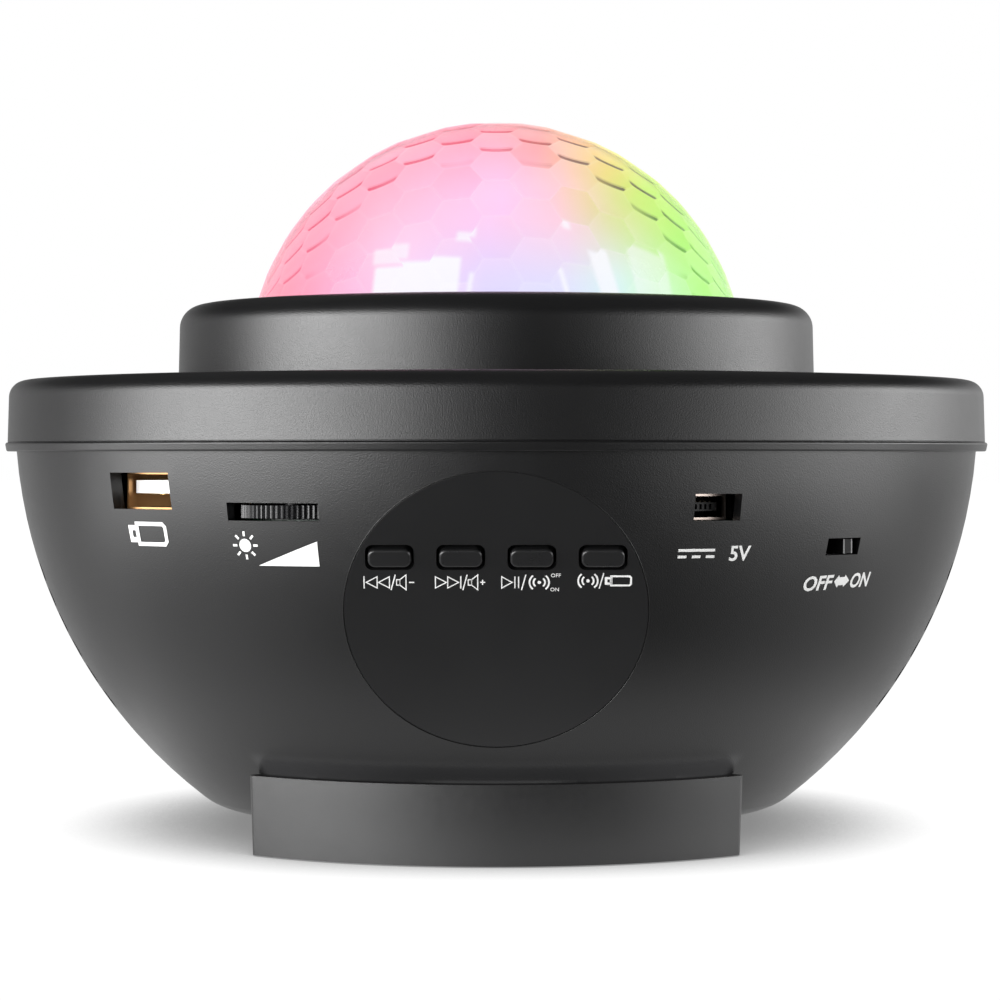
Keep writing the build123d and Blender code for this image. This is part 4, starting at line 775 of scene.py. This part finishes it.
def make_facets():
    """Facets of the dome as one plain mesh, just inside its skin."""
    material = facet_glow("facet_glow")
    tree = facet_tree(material)
    base = bpy.data.objects.new("facet_base", bpy.data.meshes.new("facet_base"))
    bpy.context.scene.collection.objects.link(base)
    modifier = base.modifiers.new("facets", "NODES")
    modifier.node_group = tree
    wanted = {
        "Columns": FACET_COLUMNS,
        "Rows": FACET_ROWS,
        "Radius": DOME_RADIUS - DOME_SKIN - FACET_GAP,
        "Thickness": FACET_THICKNESS,
        "Sink": FACET_SINK,
    }
    for item in tree.interface.items_tree:
        if item.name in wanted:
            modifier[item.identifier] = wanted[item.name]
    depsgraph = bpy.context.evaluated_depsgraph_get()
    mesh = bpy.data.meshes.new_from_object(base.evaluated_get(depsgraph), depsgraph=depsgraph)
    bpy.data.objects.remove(base)
    mesh.name = "dome_facets"
    add_piece("dome_facets", mesh, "root", material)


def facet_glow(name):
    """Facets lit from inside: pink on the left, through white and blue, to green on the right."""
    finish = Finish(name, Roughness=0.25)
    x, y, z = finish.axes()
    across = x / DOME_RADIUS
    up = (z - DOME_CENTRE_Z) / DOME_RADIUS
    depth = (y / DOME_RADIUS).math("ABSOLUTE")
    chance = finish.attribute("chance")
    parts = finish.tree.nodes.new("ShaderNodeSeparateXYZ")
    fill(finish.tree, parts.inputs[0], finish.attribute("tile", "Vector"))
    tile_x, tile_y = (Value(finish.tree, parts.outputs[number]) for number in (0, 1))
    tile_y = tile_y * (2 / math.sqrt(3))

    # Colour round the rim, by the angle above the right-hand horizon, and towards the middle
    swing = (up - 0.1).math("ARCTAN2", across) / math.pi + (chance - 0.5) * 0.016
    rim = finish.ramp(swing, [
        (0.06, linear(190, 250, 145)),
        (0.17, linear(186, 246, 118)),
        (0.26, linear(206, 240, 100)),
        (0.32, linear(238, 222, 112)),
        (0.38, linear(252, 200, 150)),
        (0.44, linear(250, 168, 165)),
        (0.55, linear(253, 160, 180)),
        (0.75, linear(252, 162, 185)),
        (0.93, linear(252, 160, 180)),
    ])
    spread = across * 0.5 + 0.5 + (chance - 0.5) * 0.025
    low = finish.ramp(spread, [
        (0.08, linear(254, 160, 188)),
        (0.22, linear(254, 192, 225)),
        (0.34, linear(250, 222, 252)),
        (0.48, linear(228, 220, 255)),
        (0.62, linear(228, 228, 254)),
        (0.72, linear(222, 246, 246)),
        (0.80, linear(208, 251, 205)),
        (0.92, linear(190, 251, 150)),
    ])
    high = finish.ramp(spread, [
        (0.10, linear(253, 165, 190)),
        (0.28, linear(255, 204, 228)),
        (0.50, linear(255, 208, 244)),
        (0.62, linear(255, 210, 225)),
        (0.72, linear(232, 224, 176)),
        (0.86, linear(200, 240, 125)),
    ])
    inner = finish.mix(up.smooth(0.25, 0.62), low, high)
    reach = (across * across * 0.9 + up * up).math("SQRT")
    outwards = (reach + (chance - 0.5) * 0.06).smooth(0.58, 1.02)
    colour = finish.mix(outwards, inner, rim)

    # Painted highlights: white patches where single facets catch a lamp
    for left, right, bottom, top, lean, strength in PAINTED_LAMP_PATCHES:
        patch = window(across - up * lean, left, right)
        patch = patch * window(up + tile_x * 0.012 + across * across * 0.2 - 0.02, bottom, top)
        colour = finish.mix(patch * strength, colour, (*linear(250, 250, 255), 1))

    # Painted shading: each facet runs from pale at its top left to deeper at its lower right, with a
    # painted highlight along its edge
    tone = tile_x * 0.10 - tile_y * 0.18 + (chance - 0.5) * 0.18
    slanted = tile_x.math("ABSOLUTE") + tile_y.math("ABSOLUTE") * 0.5
    edge = tile_y.math("ABSOLUTE").math("MAXIMUM", slanted)
    edge_highlight = edge.smooth(0.91, 0.98) * 0.22
    deep = 1.12 + outwards * 0.22 + (tone - edge_highlight) * outwards.math("MAXIMUM", 0.4)
    colour = finish.node("ShaderNodeGamma", None, {"Color": colour, "Gamma": deep})

    # Painted shade: dark curved lines along the lower edges of the facets near the rim
    near_rim = (1 - depth.smooth(0.50, 0.64)) * depth.smooth(0.06, 0.26)
    curve = tile_y + 0.84 - tile_x * tile_x * 0.28
    thick = 1 - curve.math("ABSOLUTE").smooth(0.08, 0.21)
    thin = (1 - (curve - 0.24).math("ABSOLUTE").smooth(0.02, 0.07)) * 0.4
    line = (thick + thin) * (1 - tile_x.math("ABSOLUTE").smooth(0.54, 0.72))
    line = line * near_rim * (chance * 0.5 + 0.85)
    line_shade_colour = finish.ramp(swing, [
        (0.12, linear(100, 185, 30)),
        (0.26, linear(75, 85, 10)),
        (0.38, linear(110, 50, 25)),
        (0.44, linear(190, 50, 50)),
        (0.50, linear(228, 48, 92)),
        (0.90, linear(232, 62, 110)),
    ])
    colour = finish.mix(line, colour, line_shade_colour)
    finish.set("Base Color", (0.02, 0.02, 0.02, 1))
    finish.set("Emission Color", colour)
    finish.set("Emission Strength", 0.98)
    return finish.material


def window(value, low, high):
    """1 where the value lies between low and high, with short smooth ends."""
    inside = value.smooth(low - PATCH_FADE, low + PATCH_FADE)
    return inside * (1 - value.smooth(high - PATCH_FADE, high + PATCH_FADE))


def make_panel_bead():
    """Fine rounded edge between the key panel and the bowl."""
    place = on_panel(0, 0)
    bm = bmesh.new()
    rings = []
    for step in range(BEAD_STEPS):
        turn = 2 * math.pi * step / BEAD_STEPS
        ring = []
        for corner in range(BEAD_CORNERS):
            angle = 2 * math.pi / BEAD_CORNERS * corner
            radius = PANEL_RADIUS + PANEL_GAP / 2 + BEAD_RADIUS * math.cos(angle)
            height = BEAD_RADIUS * (math.sin(angle) - BEAD_SINK)
            spot = place(radius * math.cos(turn), radius * math.sin(turn), height)
            ring.append(bm.verts.new(spot))
        rings.append(ring)
    for first, second in zip(rings, rings[1:] + rings[:1]):
        for corner in range(BEAD_CORNERS):
            after = (corner + 1) % BEAD_CORNERS
            bm.faces.new([first[corner], first[after], second[after], second[corner]])
    mesh = mesh_of(bm, "panel_bead", smooth=True)
    material = moulded("bead_black", (0.01, 0.01, 0.01), 0.25, 0.6 * MM, 0.002 * MM)
    add_piece("panel_bead", mesh, "root", material)


# --------------------------------------------------------------------------
# White prints. Each is drawn flat in millimetres, x to the right and y up.
# --------------------------------------------------------------------------


def on_bowl(azimuth, elevation):
    """Lays a flat drawing on the bowl about a point, along its circles and meridians."""
    turn = math.radians(azimuth)
    rise = math.radians(elevation)

    def place(x, y, height):
        around = turn + x / (BOWL_RADIUS * math.cos(rise))
        upwards = rise + y / BOWL_RADIUS
        level = math.cos(upwards)
        out = Vector((math.sin(around) * level, -math.cos(around) * level, math.sin(upwards)))
        return BOWL_CENTRE + out * (BOWL_RADIUS + height)

    return place


def on_panel(x_shift, y_shift):
    """Lays a flat drawing on the key panel, about a point from the panel's middle."""
    normal = Vector((0, -math.cos(PANEL_TILT), -math.sin(PANEL_TILT)))
    upwards = Vector((0, -math.sin(PANEL_TILT), math.cos(PANEL_TILT)))
    face = math.sqrt(BOWL_RADIUS**2 - (PANEL_RADIUS + PANEL_GAP) ** 2)

    def place(x, y, height):
        spot = BOWL_CENTRE + normal * (face + height)
        return spot + Vector((1, 0, 0)) * (x + x_shift) + upwards * (y + y_shift)

    return place


def stroke(points, width, closed=False):
    """Outline of a line of the given width along the points, with mitred corners."""
    count = len(points)
    spots = [Vector(point) for point in points]
    sides = ([], [])
    for number, spot in enumerate(spots):
        before = spots[number - 1] if number > 0 or closed else None
        after = spots[(number + 1) % count] if number < count - 1 or closed else None
        normals = []
        for start, end in ((before, spot), (spot, after)):
            if start is not None and end is not None:
                along = (end - start).normalized()
                normals.append(Vector((-along.y, along.x)))
        mitre = sum(normals, Vector((0, 0))).normalized()
        reach = width / 2 / max(MITRE_LIMIT, mitre.dot(normals[0]))
        sides[0].append(spot + mitre * reach)
        sides[1].append(spot - mitre * reach)
    shapes = []
    last = count if closed else count - 1
    for number in range(last):
        after = (number + 1) % count
        corners = (sides[0][number], sides[0][after], sides[1][after], sides[1][number])
        shapes.append([tuple(corner) for corner in corners])
    return shapes


def disc(x, y, radius, corners=20):
    """Filled circle about a point."""
    angles = [2 * math.pi * number / corners for number in range(corners)]
    return [(x + radius * math.cos(angle), y + radius * math.sin(angle)) for angle in angles]


def lettering(words, height, slant=0.0, bold=0.0, stretch=1.0):
    """Filled letters of a plain typeface as faces (lists of points), centred on the origin."""
    curve = bpy.data.curves.new(words, "FONT")
    curve.body = words
    curve.align_x = "CENTER"
    curve.size = height / CAPITAL_SHARE
    curve.shear = slant
    curve.offset = bold
    curve.resolution_u = 3
    holder = bpy.data.objects.new(words, curve)
    bpy.context.scene.collection.objects.link(holder)
    depsgraph = bpy.context.evaluated_depsgraph_get()
    mesh = bpy.data.meshes.new_from_object(holder.evaluated_get(depsgraph), depsgraph=depsgraph)
    spots = [vertex.co for vertex in mesh.vertices]
    shapes = []
    for polygon in mesh.polygons:
        shapes.append([(spots[v].x * stretch, spots[v].y - height / 2) for v in polygon.vertices])
    bpy.data.objects.remove(holder)
    return shapes


def shifted(shapes, x, y):
    """Shapes moved right and up."""
    return [[(px + x, py + y) for px, py in shape] for shape in shapes]


def mirrored(shapes):
    """Shapes turned left for right about x = 0."""
    return [[(-x, y) for x, y in shape[::-1]] for shape in shapes]


def make_print(name, shapes, place):
    """Turns flat shapes in millimetres into a thin closed layer on the case."""
    bm = bmesh.new()
    for shape in shapes:
        bm.faces.new([bm.verts.new((x * MM, y * MM, 0)) for x, y in shape])
    bmesh.ops.remove_doubles(bm, verts=bm.verts, dist=MERGE_DISTANCE)
    for axis in (0, 1):
        spread = [vertex.co[axis] for vertex in bm.verts]
        cut = math.floor(min(spread) / PRINT_GRID) * PRINT_GRID + PRINT_GRID
        while cut < max(spread):
            spot = Vector((0, 0, 0))
            spot[axis] = cut
            direction = Vector((0, 0, 0))
            direction[axis] = 1
            everything = bm.verts[:] + bm.edges[:] + bm.faces[:]
            bmesh.ops.bisect_plane(bm, geom=everything, plane_co=spot, plane_no=direction)
            cut += PRINT_GRID
    for face in bm.faces:
        if face.normal.z < 0:
            face.normal_flip()
    raised = bmesh.ops.extrude_face_region(bm, geom=bm.faces[:])
    tops = {v for v in raised["geom"] if isinstance(v, bmesh.types.BMVert)}
    for vertex in bm.verts:
        height = PRINT_LIFT + (PRINT_THICKNESS if vertex in tops else 0)
        vertex.co = place(vertex.co.x, vertex.co.y, height)
    # The cuts leave the corners and faces in no fixed order
    bm.verts.sort(key=lambda vertex: vertex.co.dot(SORT_AXIS))
    bm.faces.sort(key=lambda face: face.calc_center_median().dot(SORT_AXIS))
    add_piece(name, mesh_of(bm, name), "root", finishes["plain_white"])


def slash(x):
    """Leaning line between two marks. x is its middle."""
    return stroke([(x - 0.32, -1.25), (x + 0.32, 1.25)], LINE)


def play_arrow(x, length):
    """Outlined triangle that points right. x is the left end."""
    return stroke([(x, -0.92), (x, 0.92), (x + length, 0)], THIN_LINE, closed=True)


def skip_arrows(x):
    """Two outlined triangles and a bar, pointing right. x is the left end."""
    shapes = play_arrow(x, 1.62) + play_arrow(x + 1.82, 1.62)
    return shapes + stroke([(x + 3.75, -1.0), (x + 3.75, 1.0)], LINE)


def loudspeaker(x):
    """Outlined loudspeaker with its cone to the right. x is the left end."""
    box = [(x, -0.45), (x, 0.45), (x + 0.5, 0.45), (x + 0.5, -0.45)]
    cone = [(x + 0.5, -0.45), (x + 0.5, 0.45), (x + 1.4, 1.2), (x + 1.4, -1.2)]
    return stroke(box, THIN_LINE, closed=True) + stroke(cone, THIN_LINE, closed=True)


def radio_waves(x):
    """A dot with two arcs on either side. x is the dot's place."""
    shapes = [disc(x, 0, 0.26)]
    for radius in (0.85, 1.45):
        for middle in (0, math.pi):
            angles = [middle + math.radians(step * 14 - 49) for step in range(8)]
            arc = [(x + radius * math.cos(a), radius * math.sin(a)) for a in angles]
            shapes += stroke(arc, LINE * 1.5)
    return shapes


def memory_stick(x, scale):
    """Outlined memory stick lying with its plug to the left. x is its middle."""
    body = [(-1.1, -1.6), (-1.1, 1.6), (4.7, 1.6), (5.2, 1.1), (5.2, -1.1), (4.7, -1.6)]
    plug = [(-2.7, -0.95), (-2.7, 0.95), (-1.1, 0.95), (-1.1, -0.95)]
    shapes = []
    for outline, weight in ((body, 0.62), (plug, 0.80)):
        points = [(x + (px - 1.2) * scale, py * scale) for px, py in outline]
        shapes += stroke(points, weight * scale, closed=True)
    return shapes


def make_bowl_prints():
    """Marks of the sockets, the thumbwheel and the switch."""
    make_print("memory_stick_mark", memory_stick(1.2, 1.0), on_bowl(*STICK_PLACE))

    sun = [disc(0, 0, 1.03)]
    for number in range(8):
        angle = math.pi / 4 * number
        ray = [(r * math.cos(angle), r * math.sin(angle)) for r in (1.42, 2.17)]
        sun += stroke(ray, 0.36)
    make_print("brightness_mark", sun, on_bowl(*SUN_PLACE))
    wedge = [[(-6.75, -1.3), (3.4, -1.3), (3.4, 2.56)]]
    make_print("brightness_wedge", wedge, on_bowl(*WEDGE_PLACE))

    supply = shifted(lettering("5V", LETTER_HEIGHT, bold=0.06), 3.9, 0)
    supply += stroke([(-6.4, 0.5), (-0.4, 0.5)], SUPPLY_LINE)
    for x in (-5.7, -3.4, -1.1):
        supply += stroke([(x - 0.7, -0.5), (x + 0.7, -0.5)], SUPPLY_LINE)
    make_print("supply_mark", supply, on_bowl(*SUPPLY_PLACE))

    switch = []
    for word, stretch, x in (("OFF", 1.07, -4.95), ("ON", 0.92, 4.8)):
        letters = lettering(word, LETTER_HEIGHT, slant=0.1, bold=0.08, stretch=stretch)
        switch += shifted(letters, x, 0)
    # Double arrow: its upper edge from tip to tip, then the same below, a little to the right
    upper = [(-1.35, 0), (-0.5, 1.0), (-0.3, 0.66), (0.9, 0.66), (1.0, 1.0), (2.15, 0)]
    lower = [(x + 0.1, -y) for x, y in upper[1:-1]]
    switch += [upper + lower[::-1]]
    switch = [[(x, y + x * SWITCH_RISE) for x, y in shape] for shape in switch]
    make_print("switch_mark", switch, on_bowl(*SWITCH_PLACE))


def make_panel_prints():
    """Marks under the four keys, from the left."""
    columns = [(number - 1.5) * BUTTON_PITCH for number in range(4)]
    row = PANEL_ROW * MM
    minus = stroke([(2.85, 0), (3.6, 0)], LINE)
    plus = minus + stroke([(3.22, -0.4), (3.22, 0.4)], LINE)

    previous = mirrored(skip_arrows(0.05)) + slash(0.5) + loudspeaker(1.0) + minus
    make_print("previous_mark", previous, on_panel(columns[0], row))

    following = skip_arrows(-3.75) + slash(0.62) + loudspeaker(1.1) + plus
    make_print("next_mark", following, on_panel(columns[1], row))

    play = play_arrow(-4.45, 1.55)
    for x in (-2.5, -1.95):
        play += stroke([(x, -0.95), (x, 0.95)], LINE)
    play += slash(-1.2) + radio_waves(1.1)
    play += shifted(lettering("OFF", SMALL_LETTER_HEIGHT), 3.55, 1.15)
    play += shifted(lettering("ON", SMALL_LETTER_HEIGHT), 3.4, -1.15)
    make_print("play_mark", play, on_panel(columns[2], row))

    source = radio_waves(-2.2) + slash(-0.2) + memory_stick(2.3, 7 / 15)
    make_print("source_mark", source, on_panel(columns[3], row + 0.25 * MM))


# --------------------------------------------------------------------------
# Making the scene
# --------------------------------------------------------------------------

finishes = make_finishes()
slot_of = {part["node"]: part["material_slot"] for part in frame["record"]["subparts"]}
# Nodes that look a little different from the other pieces of their slot
special = {
    "lower_case": bowl_plastic("bowl_black"),
    # USB shell: copper-brown tint as a painted reflection of the warm parts inside, with painted
    # shade deeper in
    "usb_socket_shell": socket_shell("usb_socket_shell", USB_SOCKET_AZIMUTH, (0.60, 0.34, 0.15),
                                     shaded_share=0.55, fade=2 * MM),
    # Power socket shell: pale front edge as a painted highlight, with painted shade almost black
    # behind it
    "power_socket_shell": socket_shell("power_socket_shell", POWER_SOCKET_AZIMUTH,
                                       (0.92, 0.78, 0.70), shaded_share=0.02, fade=1.1 * MM),
    # Gold contacts coloured nearly black, as painted shade inside the socket
    "power_socket_contacts": pressed_metal("power_socket_contacts", (0.07, 0.06, 0.045), 0.6),
    "power_switch_lever": lever_plastic("power_switch_lever"),
}
for name, node in nodes.items():
    node.data.materials.clear()
    node.data.materials.append(special.get(name) or finishes[slot_of[name]])

make_lid_skin()
make_dome_skin()
make_facets()
make_panel_bead()
make_bowl_prints()
make_panel_prints()
make_camera()
make_world()
make_floor()

bpy.context.scene.view_settings.view_transform = "Standard"
